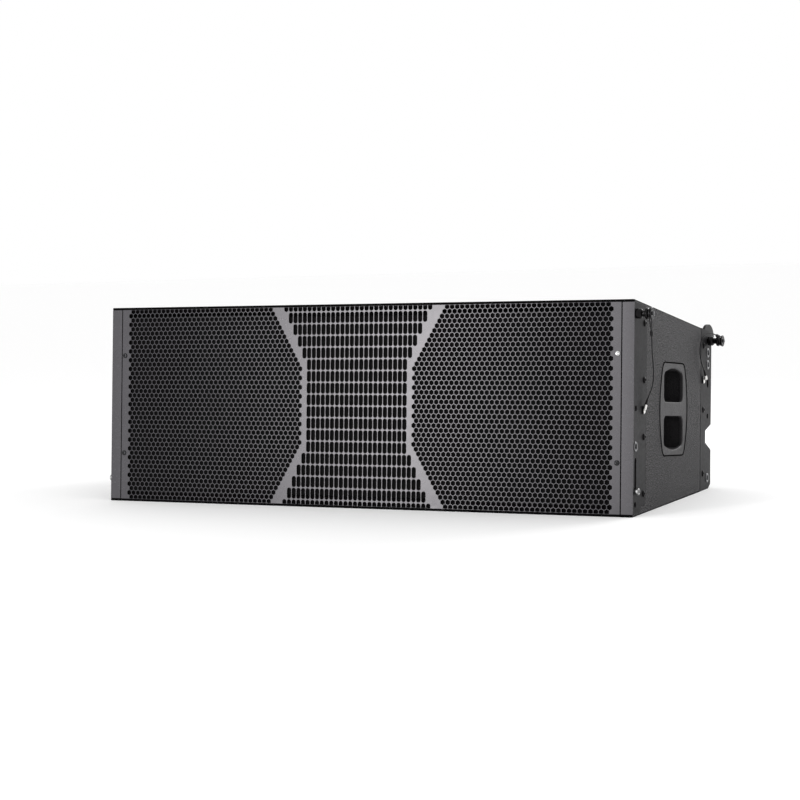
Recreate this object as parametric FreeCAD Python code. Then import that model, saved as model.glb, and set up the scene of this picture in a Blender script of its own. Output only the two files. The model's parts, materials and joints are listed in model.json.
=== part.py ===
import FreeCAD, Part
import math
import os

from FreeCAD import Vector

# Line array speaker module, dual 12 inch, three-way, in millimetres.
#
# Everything is drawn in the box frame: X to the right seen from the front, Y back into
# the box, Z up, with the grille's face on Y = 0 and the box symmetric about X = 0 and
# Z = 0.  save() then turns it into the row frame, where the wedge-shaped box rests on
# its bottom face: origin at the middle of that face, Z up, front towards -Y.

# Driving dimensions of the box
WIDTH = 1084.0
HEIGHT = 380.0
DEPTH = 412.0
WEDGE = 5.0
PLY = 18.0
SIDE_PLY = 21.0

# Grille and its recess
EDGE = 4.5
RECESS = 3.3
GRILLE_HALF_WIDTH = 519.0
GRILLE_HALF_HEIGHT = 185.2
GRILLE_THICK = 2.0
HOLE_PITCH = 20.0
HOLE_R = 4.15
WING_START = 119.0
WING_END = 499.0
WAIST_HALF_HEIGHT = 69.3
SLOT_PITCH_X = 10.0
SLOT_PITCH_Z = 22.0
SLOT_WIDTH = 8.0
SLOT_HEIGHT = 20.0
SLOTS_IN_ROW = (21, 21, 21, 21, 23, 25, 27, 29)
GRILLE_SCREW_X = 512.0
GRILLE_SCREW_Z = 95.5
FOAM_HALF_WIDTH = 502.0
FOAM_HALF_HEIGHT = 168.0
FOAM_Y = (3.6, 8.2)

# Front rails: a steel channel at each front corner, with a flange on the side, and a
# flat trim strip in the grille's finish over its front wall
RAIL_WIDTH = 22.0
TRIM_THICK = 1.2
RAIL_FRONT_WALL = 3.0
RAIL_OUTER_WALL = 4.0
RAIL_INNER_WALL = 3.0
RAIL_INNER_DEPTH = 26.0
RAIL_INNER_HALF_HEIGHT = 169.0
RAIL_END_GAP = 0.3
WOOD_GAP = 0.4
FLANGE_DEPTH = 66.0
FLANGE_FOOT_DEPTH = 37.0
FLANGE_FOOT_Z = -171.0
FLANGE_CORNER = 12.0
FRONT_COLUMN = 11.5
FRONT_PIN_Z = 165.0
PARKING_HOLE = (57.0, 100.0)
PARKING_FLOOR_X = 523.0
FRONT_BUSH_Z = -67.0
FRONT_LOWER_HOLE_Z = -168.0
KNOB_Z = -145.0
KNOB_SLOT_TOP = -90.5
FRONT_BOLT_Y = 55.0
FRONT_BOLT_Z = (150.0, 50.0, -50.0, -150.0)

# Rear rails: a steel side plate with a spacer behind it, and an inner guide angle
REAR_RAIL_START = 385.0
REAR_RAIL_END = 452.0
REAR_PLATE_IN = 537.0
REAR_SPACER_IN = 530.6
REAR_SPACER_END = 410.0
REAR_STEP_START = 394.0
REAR_STEP = 0.8
REAR_COLUMN = 430.0
REAR_PIN_Z = 133.0
REAR_BUSH_Z = (110.0, 87.0, -131.0)
REAR_OVAL_Z = 52.0
REAR_PLAIN_Z = -12.0
REAR_BOLT_Y = 402.0
REAR_BOLT_Z = (123.0, 0.0, -122.0)
NOTCH = ((460.0, -25.0), (417.0, -40.0), (417.0, -63.0), (460.0, -80.0))
GUIDE_IN = 526.6
GUIDE_LEG = 4.0
GUIDE_FLANGE_IN = 492.0
GUIDE_HALF_HEIGHT = 144.0
GUIDE_SCREW_X = 503.0
GUIDE_SCREW_Z = (100.0, 15.0, -95.0)

# Links, pins and their travel
LINK_TRAVEL_FRONT = 47.0
LINK_TRAVEL_REAR = 110.0
LINK_PLAY = 1.0
FRONT_LINK_X = (530.0, 537.0)
FRONT_LINK_HALF = 8.0
FRONT_LINK_FOOT = -152.0
FRONT_LINK_HEAD = 169.0
REAR_LINK_X = (531.0, 536.5)
REAR_LINK_Y = (411.5, 449.5)
REAR_LINK_FOOT = -20.0
REAR_LINK_CROWN = (449.5, 166.0)
REAR_LINK_TIP = (486.0, 136.0)
PIN_R = 4.75
PIN_HOLE_R = 5.05
PIN_SLOT_R = 5.1
PIN_TIP_X = 524.0
BUTTON_R = 3.5
BUTTON_BORE_R = 3.6
KNOB_SHAFT_R = 4.0
KNOB_SLOT_R = 4.5

# Fasteners
BOLT_R = 3.0
BOLT_HEAD_R = 6.0
BOLT_HEAD = 2.6
BOLT_SOCKET_R = 2.0
BOLT_TIP_X = 522.5
SCREW_R = 2.0
SCREW_HEAD_R = 3.9
SCREW_HEAD = 2.2
FIT = 0.05
BUSH_R = 6.5
BUSH_FLANGE_R = 9.0

# Lanyards: coated wire rope from a fixed anchor to the eye on each pin
WIRE_R = 1.25
EYE_X = 566.5
EYE_R = 8.2
FERRULE_R = 3.0
FERRULE_LENGTH = 9.0
# Routes as (distance out from the side, Y, Z), from the anchor up to the eye's ferrule
FRONT_LANYARD = (
    (5.0, 50.0, 6.0), (5.6, 52.2, 12.0), (7.6, 57.0, 21.5), (10.4, 63.0, 32.5),
    (13.0, 65.8, 46.5), (14.8, 62.2, 62.0), (16.6, 54.4, 77.0), (18.8, 43.6, 91.0),
    (21.4, 32.8, 104.0), (23.4, 25.4, 116.0), (24.1, 22.6, 126.0),
)
PARKED_LANYARD = (
    (5.0, 50.0, 6.0), (5.6, 52.2, 12.0), (7.2, 58.2, 23.0), (9.0, 69.0, 34.0),
    (11.0, 83.0, 44.5), (13.5, 97.5, 56.0), (16.0, 108.0, 69.5), (18.6, 112.5, 84.0),
    (21.2, 110.5, 97.0), (23.4, 102.5, 105.0), (24.1, 93.5, 108.0),
)
REAR_LANYARD = (
    (5.0, 397.0, 66.0), (5.2, 392.0, 72.5), (5.4, 380.0, 81.5), (5.4, 367.5, 92.0),
    (5.2, 360.6, 107.0), (5.4, 361.5, 123.0), (6.8, 368.0, 135.5), (9.8, 378.5, 143.5),
    (14.2, 388.5, 146.8), (19.2, 397.5, 145.8), (23.2, 405.0, 142.9),
)
FRONT_ANCHOR = (50.0, -5.0)
REAR_ANCHOR = (397.0, 55.0)
ANCHOR_BARREL = 9.0
ANCHOR_BARREL_R = 2.6
ANCHOR_PLATE = 1.6
ANCHOR_SCREW_R = 2.2
ANCHOR_SCREW = 15.0

# Handles
HANDLE_Y = 220.0
HANDLE_HALF_WIDTH = 78.0
HANDLE_CORNER = (64.0, 73.0)
HANDLE_TOP_HALF = 52.0
HANDLE_HALF_HEIGHT = 84.0
HANDLE_PLATE = 6.0
HANDLE_SEAM = 1.6
CUP_HALF_WIDTH = 62.0
CUP_HALF_HEIGHT = 74.0
CUP_DEPTH = 64.0
CUP_WALL = 3.0
OPENING_HALF_WIDTH = 54.0
OPENING_Z = (13.0, 68.0)
OPENING_ARCH = 6.0
OPENING_CORNER = 12.0
GRIP_DEPTH = 24.0
GRIP_ROUND = 5.0

# Baffle, chambers and low-frequency drivers
BAFFLE_Y = (36.0, 54.0)
BATTEN_X = (503.0, 519.6)
BATTEN_Y = 8.5
BATTEN_HALF_HEIGHT = 160.0
CENTRE_HALF = 140.0
CENTRE_HALF_HEIGHT = 158.0
PARTITION_X = (153.0, 168.0)
WOOFER_X = 335.0
BASKET_R = 156.0
CUTOUT_R = 142.0
BASKET_FLANGE = 6.0
BASKET_BACK_Y = 110.0
BASKET_BACK_R = 62.0
CONE_R = 118.0
COIL_R = 38.0
CONE_FRONT_Y = 33.0
SPIDER_Y = 92.0
SPIDER_R = 74.0
BASKET_WINDOWS = 6
WOOFER_BOLT_CIRCLE = 149.0
WOOFER_SCREWS = 8

# Mid and high-frequency section
MID_PLATE = 12.0
MID_PLATE_LENGTH = 136.0
MID_PLATE_CENTRE = (88.0, 100.0)
MID_PLATE_HALF_HEIGHT = 150.0
MID_Z = 76.0
MID_R = 62.0
MID_HOLE_R = 54.0
HORN_Y = (118.0, 215.0)
HORN_HALF_HEIGHT = 142.0
HORN_FLANGE = 6.0
FLARE_HALF_HEIGHT = 130.0
DRIVER_Z = 72.0
DRIVER_R = 48.0

# Crossover board, behind the left woofer
BOARD_X = (-430.0, -210.0)
BOARD_HALF_HEIGHT = 60.0
BOARD_STANDOFF = 6.0
BOARD_THICK = 2.0

# Rear connector plate
PLATE_HALF = (100.0, 60.0)
PLATE_HOLE_HALF = (90.0, 50.0)
PLATE_THICK = 2.6
PLATE_SCREW_INSET = 5.0
SOCKET_X = (-60.0, -20.0, 20.0, 60.0)
SOCKET_R = 12.0
SOCKET_DEPTH = 30.0

HALF = WIDTH / 2
TOP = HEIGHT / 2
SLOPE = math.tan(math.radians(WEDGE))
INNER = HALF - SIDE_PLY


def row_placement():
    """Placement that takes the box frame into the row frame."""
    turn = FreeCAD.Rotation(Vector(1, 0, 0), -WEDGE)
    foot = turn.multVec(Vector(0, DEPTH / 2, -TOP + DEPTH / 2 * SLOPE))
    return FreeCAD.Placement(-foot, turn)


def top_z(y):
    """Height of the sloping top face at depth y."""
    return TOP - y * SLOPE


# ---------------------------------------------------------------- drawing helpers

def box(x0, x1, y0, y1, z0, z1):
    return Part.makeBox(x1 - x0, y1 - y0, z1 - z0, Vector(x0, y0, z0))


def closed_face(points):
    return Part.Face(Part.makePolygon(points + points[:1]))


def prism_yz(points, x0, x1):
    """Extrude a (y, z) outline along X."""
    face = closed_face([Vector(x0, y, z) for y, z in points])
    return face.extrude(Vector(x1 - x0, 0, 0))


def prism_xy(points, z0, z1):
    """Extrude an (x, y) outline along Z."""
    face = closed_face([Vector(x, y, z0) for x, y in points])
    return face.extrude(Vector(0, 0, z1 - z0))


def rod_x(r, x0, x1, y, z):
    return Part.makeCylinder(r, x1 - x0, Vector(x0, y, z), Vector(1, 0, 0))


def rod_y(r, y0, y1, x, z):
    return Part.makeCylinder(r, y1 - y0, Vector(x, y0, z), Vector(0, 1, 0))


def slot_x(r, x0, x1, y, z0, z1):
    """Vertical slot with round ends, cut along X."""
    middle = box(x0, x1, y - r, y + r, z0, z1)
    return middle.fuse([rod_x(r, x0, x1, y, z0), rod_x(r, x0, x1, y, z1)])


def lathe(profile, centre, axis):
    """Turn (radius, along) points about an axis through centre."""
    points = [Vector(r, 0, along) for r, along in profile]
    solid = closed_face(points).revolve(Vector(0, 0, 0), Vector(0, 0, 1), 360)
    solid.Placement = FreeCAD.Placement(centre, FreeCAD.Rotation(Vector(0, 0, 1), axis))
    return solid


def mirror_x(shape):
    return shape.mirror(Vector(0, 0, 0), Vector(1, 0, 0))


def both_sides(shapes):
    return shapes + [mirror_x(shape) for shape in shapes]


def in_box_sheet(y0, y1, x0, x1, inset):
    """A sheet across the box between its sloping faces, inset from them."""
    a = top_z(y0) - inset
    b = top_z(y1) - inset
    return prism_yz([(y0, -a), (y1, -b), (y1, b), (y0, a)], x0, x1)


# ---------------------------------------------------------------- fasteners

def bolt_positions():
    """Rail bolts on the right side as (y, z)."""
    front = [(FRONT_BOLT_Y, z) for z in FRONT_BOLT_Z]
    rear = [(REAR_BOLT_Y, z) for z in REAR_BOLT_Z]
    return front + rear


def bolt_x(y, z):
    """Button-head bolt driven in from the right side."""
    profile = [
        (0, BOLT_TIP_X - HALF), (BOLT_R, BOLT_TIP_X - HALF), (BOLT_R, 0), (BOLT_HEAD_R, 0),
        (BOLT_HEAD_R, BOLT_HEAD * 0.45), (BOLT_HEAD_R * 0.62, BOLT_HEAD), (0, BOLT_HEAD),
    ]
    bolt = lathe(profile, Vector(HALF, y, z), Vector(1, 0, 0))
    socket = rod_x(BOLT_SOCKET_R, HALF + BOLT_HEAD - 1.6, HALF + BOLT_HEAD + 1, y, z)
    return bolt.cut(socket)


def bolt_holes():
    return [rod_x(BOLT_R + FIT, BOLT_TIP_X - 1, HALF + 1, y, z) for y, z in bolt_positions()]


def screw_y(x, y, z, length, forward=-1.0):
    """Pan-head screw whose head stands on the face at y and points forward or back."""
    profile = [
        (0, -length), (SCREW_R, -length), (SCREW_R, 0), (SCREW_HEAD_R, 0),
        (SCREW_HEAD_R, SCREW_HEAD * 0.5), (SCREW_HEAD_R * 0.55, SCREW_HEAD), (0, SCREW_HEAD),
    ]
    return lathe(profile, Vector(x, y, z), Vector(0, forward, 0))


def screw_hole_y(x, y0, y1, z):
    return rod_y(SCREW_R + FIT, y0, y1, x, z)


def grille_screw_spots():
    return [(sx * GRILLE_SCREW_X, sz * GRILLE_SCREW_Z) for sx in (-1, 1) for sz in (-1, 1)]


def woofer_screw_spots():
    """Screws round each low-frequency driver as (x, z)."""
    spots = []
    for side in (-1, 1):
        for i in range(WOOFER_SCREWS):
            a = math.tau * (i + 0.5) / WOOFER_SCREWS
            x = side * WOOFER_X + WOOFER_BOLT_CIRCLE * math.cos(a)
            spots.append((x, WOOFER_BOLT_CIRCLE * math.sin(a)))
    return spots


def guide_screw_spots():
    return [(side * GUIDE_SCREW_X, z) for side in (-1, 1) for z in GUIDE_SCREW_Z]


def plate_screw_spots():
    x = PLATE_HALF[0] - PLATE_SCREW_INSET
    z = PLATE_HALF[1] - PLATE_SCREW_INSET
    return [(sx * x, sz * z) for sx in (-1, 1) for sz in (-1, 1)]


# ---------------------------------------------------------------- cabinet

def flange_outline(grow):
    """Side flange of the front rail as (y, z) points, with a rounded lower corner."""
    rear = FLANGE_DEPTH + grow
    foot = FLANGE_FOOT_DEPTH + grow
    low = FLANGE_FOOT_Z - grow
    points = [(0.0, TOP - EDGE), (rear, top_z(rear) - EDGE)]
    for step in range(0, 91, 15):
        a = math.radians(step)
        y = rear - FLANGE_CORNER * (1 - math.cos(a))
        z = low + FLANGE_CORNER * (1 - math.sin(a))
        points.append((y, z))
    points += [(foot, low), (foot, -top_z(foot) + EDGE), (0.0, -TOP + EDGE)]
    return points


def rail_pockets():
    """Room in the wood of the right side for the front rail's flange and the rear rail."""
    flange = prism_yz(flange_outline(WOOD_GAP), HALF - RAIL_OUTER_WALL - 0.3, HALF + 1)
    rear = box(REAR_SPACER_IN - 0.1, HALF + 1, REAR_RAIL_START - 2, DEPTH + 1, -TOP, TOP)
    return [flange, rear]


def link_way(x0, z0, z1):
    """Room for the front link of this box, or of the one below, to pass through a panel."""
    reach = FRONT_LINK_HALF + LINK_PLAY
    y = FRONT_COLUMN
    return box(x0, HALF - RAIL_OUTER_WALL, y - reach, y + reach, z0, z1)


def lipped_panel(up):
    """Top (up 1) or bottom (up -1) panel, whose front lip frames the grille."""
    outline = [
        (0, TOP), (DEPTH, top_z(DEPTH)), (DEPTH, top_z(DEPTH) - PLY),
        (RECESS, top_z(RECESS) - PLY), (RECESS, TOP - EDGE), (0, TOP - EDGE),
    ]
    return prism_yz([(y, up * z) for y, z in outline], -HALF, HALF)


def top_panel():
    way = link_way(FRONT_LINK_X[0] - 0.6, TOP / 2, TOP + 1)
    return lipped_panel(1).cut(both_sides(rail_pockets() + [way]))


def bottom_panel():
    """Its notches reach further in, because the lower pin crosses the whole channel."""
    way = link_way(HALF - RAIL_WIDTH - 0.1, -TOP - 1, -TOP / 2)
    return lipped_panel(-1).cut(both_sides(rail_pockets() + [way]))


def side_panel():
    panel = in_box_sheet(RAIL_INNER_DEPTH + 1.0, DEPTH, INNER, HALF, PLY)
    recess = handle_plate_solid(HANDLE_SEAM, HALF - HANDLE_PLATE - 0.3, HALF + 1)
    y = HANDLE_Y
    w = CUP_HALF_WIDTH + 0.6
    h = CUP_HALF_HEIGHT + 0.6
    cup = box(INNER - 1, HALF, y - w, y + w, -h, h)
    return panel.cut(rail_pockets() + [recess, cup] + bolt_holes() + anchor_holes())


def back_panel():
    """Back with the opening and the rebate of the connector plate."""
    panel = in_box_sheet(DEPTH - PLY, DEPTH, -INNER, INNER, PLY)
    front, behind = DEPTH - PLY - 1, DEPTH + 1
    w, h = PLATE_HOLE_HALF
    opening = box(-w, w, front, behind, -h, h)
    w, h = (half + WOOD_GAP for half in PLATE_HALF)
    rebate = box(-w, w, DEPTH - PLATE_THICK - 0.4, behind, -h, h)
    spots = plate_screw_spots() + guide_screw_spots()
    return panel.cut([opening, rebate] + [screw_hole_y(x, front, behind, z) for x, z in spots])


def front_baffle():
    """Baffle with the two side battens that carry the grille's screws."""
    front, behind = BAFFLE_Y
    sheet = in_box_sheet(front, behind, -INNER, INNER, PLY)
    batten = box(BATTEN_X[0], BATTEN_X[1], BATTEN_Y, front, -BATTEN_HALF_HEIGHT, BATTEN_HALF_HEIGHT)
    baffle = sheet.fuse(both_sides([batten])).removeSplitter()
    holes = [rod_y(CUTOUT_R, front - 1, behind + 1, side * WOOFER_X, 0) for side in (-1, 1)]
    w, h = CENTRE_HALF, CENTRE_HALF_HEIGHT
    holes += [box(-w, w, front - 1, behind + 1, -h, h)]
    holes += [screw_hole_y(x, 0, 26, z) for x, z in grille_screw_spots()]
    holes += [screw_hole_y(x, front - 1, 50, z) for x, z in woofer_screw_spots()]
    return baffle.cut(holes)


def chamber_partitions():
    wall = in_box_sheet(BAFFLE_Y[1], DEPTH - PLY, PARTITION_X[0], PARTITION_X[1], PLY)
    return Part.makeCompound(both_sides([wall]))


# ---------------------------------------------------------------- grille

def wing_start(z):
    """Inner end of the round-hole field: the waist is straight, then it opens out."""
    beyond = max(0.0, abs(z) - WAIST_HALF_HEIGHT)
    return WING_START + beyond / math.sqrt(3)


def round_hole(x, z):
    return Part.Wire([Part.makeCircle(HOLE_R, Vector(x, 0, z), Vector(0, 1, 0))])


def upright_slot(x, z):
    r = SLOT_WIDTH / 2
    reach = SLOT_HEIGHT / 2 - r
    lift = Vector(0, 0, reach)
    centre = Vector(x, 0, z)
    side = Vector(r, 0, 0)
    tip = Vector(0, 0, reach + r)
    return Part.Wire([
        Part.makeLine(centre + side - lift, centre + side + lift),
        Part.Arc(centre + side + lift, centre + tip, centre - side + lift).toShape(),
        Part.makeLine(centre - side + lift, centre - side - lift),
        Part.Arc(centre - side - lift, centre - tip, centre + side - lift).toShape(),
    ])


def front_grille():
    """Perforated steel sheet: round holes in both wings, upright slots in the middle.

    The sheet has holes at a 10 mm pitch; this solid has those on every second place.
    """
    w = GRILLE_HALF_WIDTH
    h = GRILLE_HALF_HEIGHT
    corners = [Vector(-w, 0, -h), Vector(w, 0, -h), Vector(w, 0, h), Vector(-w, 0, h)]
    wires = []
    row_pitch = HOLE_PITCH * math.sqrt(3) / 2
    last_row = math.floor(h / row_pitch)
    for row in range(-last_row, last_row + 1):
        z = row * row_pitch
        shift = HOLE_PITCH / 2 if row % 2 else 0.0
        x = WING_END - shift
        while x >= wing_start(z) + HOLE_PITCH * 0.2:
            wires += [round_hole(x, z), round_hole(-x, z)]
            x -= HOLE_PITCH
    for row, count in enumerate(SLOTS_IN_ROW):
        z = SLOT_PITCH_Z * (row + 0.5)
        for i in range(count):
            x = (i - (count - 1) / 2) * SLOT_PITCH_X
            wires += [upright_slot(x, z), upright_slot(x, -z)]
    for x, z in grille_screw_spots():
        wires += [Part.Wire([Part.makeCircle(SCREW_R + 0.3, Vector(x, 0, z), Vector(0, 1, 0))])]
    for wire in wires:
        wire.reverse()
    sheet = Part.Face([Part.makePolygon(corners + corners[:1])] + wires)
    sheet.validate()
    return sheet.extrude(Vector(0, GRILLE_THICK, 0))


def grille_foam():
    """Open-cell foam behind the perforated sheet."""
    w, h = FOAM_HALF_WIDTH, FOAM_HALF_HEIGHT
    return box(-w, w, FOAM_Y[0], FOAM_Y[1], -h, h)


# ---------------------------------------------------------------- front rail parts

def front_rail():
    """Channel round the front corner: front wall, outer wall with flange, inner wall."""
    outer = prism_yz(flange_outline(0.0), HALF - RAIL_OUTER_WALL, HALF)
    start = HALF - RAIL_WIDTH
    end = TOP - EDGE - RAIL_END_GAP
    front = box(start, HALF, TRIM_THICK, RAIL_FRONT_WALL, -end, end)
    h = RAIL_INNER_HALF_HEIGHT
    inner = box(start, start + RAIL_INNER_WALL, TRIM_THICK, RAIL_INNER_DEPTH, -h, h)
    before_trim = box(start - 1, HALF + 1, -1, TRIM_THICK, -TOP, TOP)
    rail = outer.cut(before_trim).fuse([front, inner]).removeSplitter()
    y = FRONT_COLUMN
    out = HALF + 1
    within = HALF - RAIL_OUTER_WALL - 1
    tools = [
        rod_x(PIN_HOLE_R, start - 1, out, y, FRONT_PIN_Z),
        rod_x(PIN_HOLE_R, start - 1, out, y, FRONT_LOWER_HOLE_Z),
        rod_x(PIN_HOLE_R, within, out, y, 0),
        rod_x(BUSH_R, within, out, y, FRONT_BUSH_Z),
        slot_x(KNOB_SLOT_R, within, out, y, KNOB_Z - 0.5, KNOB_SLOT_TOP),
    ]
    return rail.cut(tools + bolt_holes() + anchor_holes())


def parking_hole():
    """Blind hole in the flange and the wood behind it, where an unused front pin is kept."""
    return rod_x(PIN_HOLE_R, PARKING_FLOOR_X, HALF + 1, *PARKING_HOLE)


def front_trims():
    """Flat strips between the grille and the corners, one on each front rail."""
    end = TOP - EDGE - RAIL_END_GAP
    strip = box(HALF - RAIL_WIDTH, HALF, 0, TRIM_THICK, -end, end)
    return Part.makeCompound(both_sides([strip]))


def front_link():
    """Flat bar inside the rail, slotted so that it can rise while its pin is in."""
    y = FRONT_COLUMN
    w = FRONT_LINK_HALF
    x0, x1 = FRONT_LINK_X
    bar = box(x0, x1, y - w, y + w, FRONT_LINK_FOOT, FRONT_LINK_HEAD)
    head = rod_x(w, x0, x1, y, FRONT_LINK_HEAD)
    slot = slot_x(PIN_SLOT_R, x0 - 1, x1 + 1, y, FRONT_PIN_Z - LINK_TRAVEL_FRONT, FRONT_PIN_Z)
    return bar.fuse(head).removeSplitter().cut(slot)


def link_knob():
    """Knurled knob on the foot of the front link, standing out through the rail's slot."""
    profile = [
        (0, 0), (KNOB_SHAFT_R, 0), (KNOB_SHAFT_R, 6.4), (6.0, 6.4), (6.5, 7.2),
        (6.5, 11.0), (5.6, 12.2), (0, 12.2),
    ]
    return lathe(profile, Vector(FRONT_LINK_X[1], FRONT_COLUMN, KNOB_Z), Vector(1, 0, 0))


# ---------------------------------------------------------------- rear rail parts

def rear_hole_tools(x0, x1, bush_r):
    """Cutting tools for the hole column: pin, bushes, oval, plain hole and notch."""
    y = REAR_COLUMN
    tools = [rod_x(PIN_HOLE_R, x0, x1, y, REAR_PIN_Z)]
    tools += [rod_x(bush_r, x0, x1, y, z) for z in REAR_BUSH_Z]
    tools += [slot_x(PIN_HOLE_R, x0, x1, y, REAR_OVAL_Z - 4, REAR_OVAL_Z + 4)]
    tools += [rod_x(PIN_HOLE_R, x0, x1, y, REAR_PLAIN_Z)]
    tools += [prism_yz(NOTCH, x0, x1)]
    return tools


def rear_rail():
    """Side plate flush with the cabinet, on a spacer that lies in the wood's rebate."""
    a = REAR_RAIL_START
    b = REAR_RAIL_END
    outline = [
        (a, -top_z(a)), (b - 14, -top_z(b - 14)), (b, -top_z(b) + 8),
        (b, top_z(b) - 12), (b - 12, top_z(b - 12)), (a, top_z(a)),
    ]
    plate = prism_yz(outline, REAR_PLATE_IN, HALF)
    spacer = box(REAR_SPACER_IN, REAR_PLATE_IN, a, REAR_SPACER_END, -150, 146)
    rail = plate.fuse(spacer).removeSplitter()
    step = box(HALF - REAR_STEP, HALF + 1, REAR_STEP_START, b + 1, -TOP, TOP)
    tools = rear_hole_tools(REAR_SPACER_IN - 1, HALF + 1, BUSH_R)
    return rail.cut([step] + tools + bolt_holes() + anchor_holes())


def rear_guide():
    """Angle on the back of the cabinet that keeps the rear link against its rail."""
    x1 = GUIDE_IN + GUIDE_LEG
    y1 = DEPTH + GUIDE_LEG
    outline = [
        (GUIDE_FLANGE_IN, DEPTH), (x1, DEPTH), (x1, REAR_RAIL_END), (GUIDE_IN, REAR_RAIL_END),
        (GUIDE_IN, y1), (GUIDE_FLANGE_IN, y1),
    ]
    angle = prism_xy(outline, -GUIDE_HALF_HEIGHT, GUIDE_HALF_HEIGHT)
    tools = rear_hole_tools(GUIDE_IN - 1, x1 + 1, PIN_HOLE_R)
    tools += [screw_hole_y(x, DEPTH - 1, y1 + 1, z) for x, z in guide_screw_spots()]
    return angle.cut(tools)


def rear_link():
    """Slotted stem between rail and guide, with a broad domed head above the box."""
    x0, x1 = REAR_LINK_X
    y0, y1 = REAR_LINK_Y

    def at(y, z):
        return Vector(x0, y, z)

    shoulder = at(y0, 128)
    tip = at(*REAR_LINK_TIP)
    crown = at(*REAR_LINK_CROWN)
    corners = [shoulder, at(y0, REAR_LINK_FOOT), at(y1, REAR_LINK_FOOT), at(y1, 120), tip]
    edges = [Part.makeLine(a, b) for a, b in zip(corners, corners[1:])]
    edges += [Part.Arc(tip, at(478, 155), crown).toShape()]
    edges += [Part.Arc(crown, at(422.6, 154.9), shoulder).toShape()]
    plate = Part.Face(Part.Wire(edges)).extrude(Vector(x1 - x0, 0, 0))
    lowest = REAR_PIN_Z - LINK_TRAVEL_REAR
    return plate.cut(slot_x(PIN_SLOT_R, x0 - 1, x1 + 1, REAR_COLUMN, lowest, REAR_PIN_Z))


def rail_bush(z, y, depth):
    """Flanged bush pressed into a rail wall."""
    r = BUSH_FLANGE_R
    profile = [
        (PIN_HOLE_R, -depth), (BUSH_R, -depth), (BUSH_R, 0), (r, 0), (r, 0.7),
        (r - 0.8, 1.2), (PIN_HOLE_R + 0.8, 1.2), (PIN_HOLE_R, 0.4),
    ]
    return lathe(profile, Vector(HALF, y, z), Vector(1, 0, 0))


def rail_bushes():
    bushes = [rail_bush(FRONT_BUSH_Z, FRONT_COLUMN, RAIL_OUTER_WALL)]
    for z in REAR_BUSH_Z:
        bush = rail_bush(z, REAR_COLUMN, HALF - REAR_PLATE_IN - REAR_STEP)
        bush.translate(Vector(-REAR_STEP, 0, 0))
        bushes.append(bush)
    return Part.makeCompound(both_sides(bushes))


def rail_bolts():
    bolts = []
    for y, z in bolt_positions():
        bolt = bolt_x(y, z)
        if y > REAR_STEP_START:
            bolt.translate(Vector(-REAR_STEP, 0, 0))
        bolts.append(bolt)
    return Part.makeCompound(both_sides(bolts))


# ---------------------------------------------------------------- quick-release pins

def pin(y, z):
    """Quick-release pin: shank, sleeve, waist, two discs with a groove, button bore."""
    tip = PIN_TIP_X - HALF
    profile = [
        (0, tip), (PIN_R - 1.2, tip), (PIN_R, tip + 1.6), (PIN_R, 0.9), (9.0, 0.9),
        (9.0, 8.6), (7.4, 10.6), (5.6, 11.4), (5.6, 16.2), (9.2, 17.2), (10.0, 18.2),
        (10.0, 20.8), (9.2, 21.8), (6.5, 22.4), (6.5, 26.6), (9.8, 27.2), (10.5, 28.2),
        (10.5, 29.8), (9.6, 31.0), (BUTTON_BORE_R, 31.0), (BUTTON_BORE_R, 24.0), (0, 24.0),
    ]
    return lathe(profile, Vector(HALF, y, z), Vector(1, 0, 0))


def pin_button(y, z):
    profile = [
        (0, 27.0), (BUTTON_R, 27.0), (BUTTON_R, 33.2), (BUTTON_R - 0.9, 34.0), (0, 34.0),
    ]
    return lathe(profile, Vector(HALF, y, z), Vector(1, 0, 0))


# ---------------------------------------------------------------- lanyards

def route_points(route):
    return [Vector(HALF + out, y, z) for out, y, z in route]


def rounded_route(points):
    """Straight runs joined by tangent arcs, as large as the runs allow."""
    edges = []
    start = points[0]
    radii = []
    for before, corner, after in zip(points, points[1:], points[2:]):
        back = (before - corner).normalize()
        ahead = (after - corner).normalize()
        run = 0.45 * min((before - corner).Length, (after - corner).Length)
        half_turn = (math.pi - back.getAngle(ahead)) / 2
        radius = run / math.tan(half_turn)
        radii.append(radius)
        first = corner + back * run
        last = corner + ahead * run
        middle_way = (back + ahead).normalize()
        centre_distance = radius / math.cos(half_turn)
        centre = corner + middle_way * centre_distance
        middle = centre - middle_way * radius
        edges.append(Part.makeLine(start, first))
        edges.append(Part.Arc(first, middle, last).toShape())
        start = last
    edges.append(Part.makeLine(start, points[-1]))
    return Part.Wire(edges), radii


def lanyard(name, route):
    """Wire rope along its route; prints its length, volume ratio and radii."""
    points = route_points(route)
    wire, radii = rounded_route(points)
    disc = Part.Wire([Part.makeCircle(WIRE_R, points[0], points[1] - points[0])])
    tube = wire.makePipeShell([disc], True, False)
    ratio = tube.Volume / (math.pi * WIRE_R ** 2 * wire.Length)
    print("%s length %.1f, volume ratio %.4f, least radius %.1f"
          % (name, wire.Length, ratio, min(radii)))
    return tube


def ferrule(start, direction):
    """Crimped sleeve with chamfered ends, from start along direction."""
    n = FERRULE_LENGTH
    r = FERRULE_R
    profile = [(0, 0), (r - 0.8, 0), (r, 0.8), (r, n - 0.8), (r - 0.8, n), (0, n)]
    return lathe(profile, start, direction)


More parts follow.
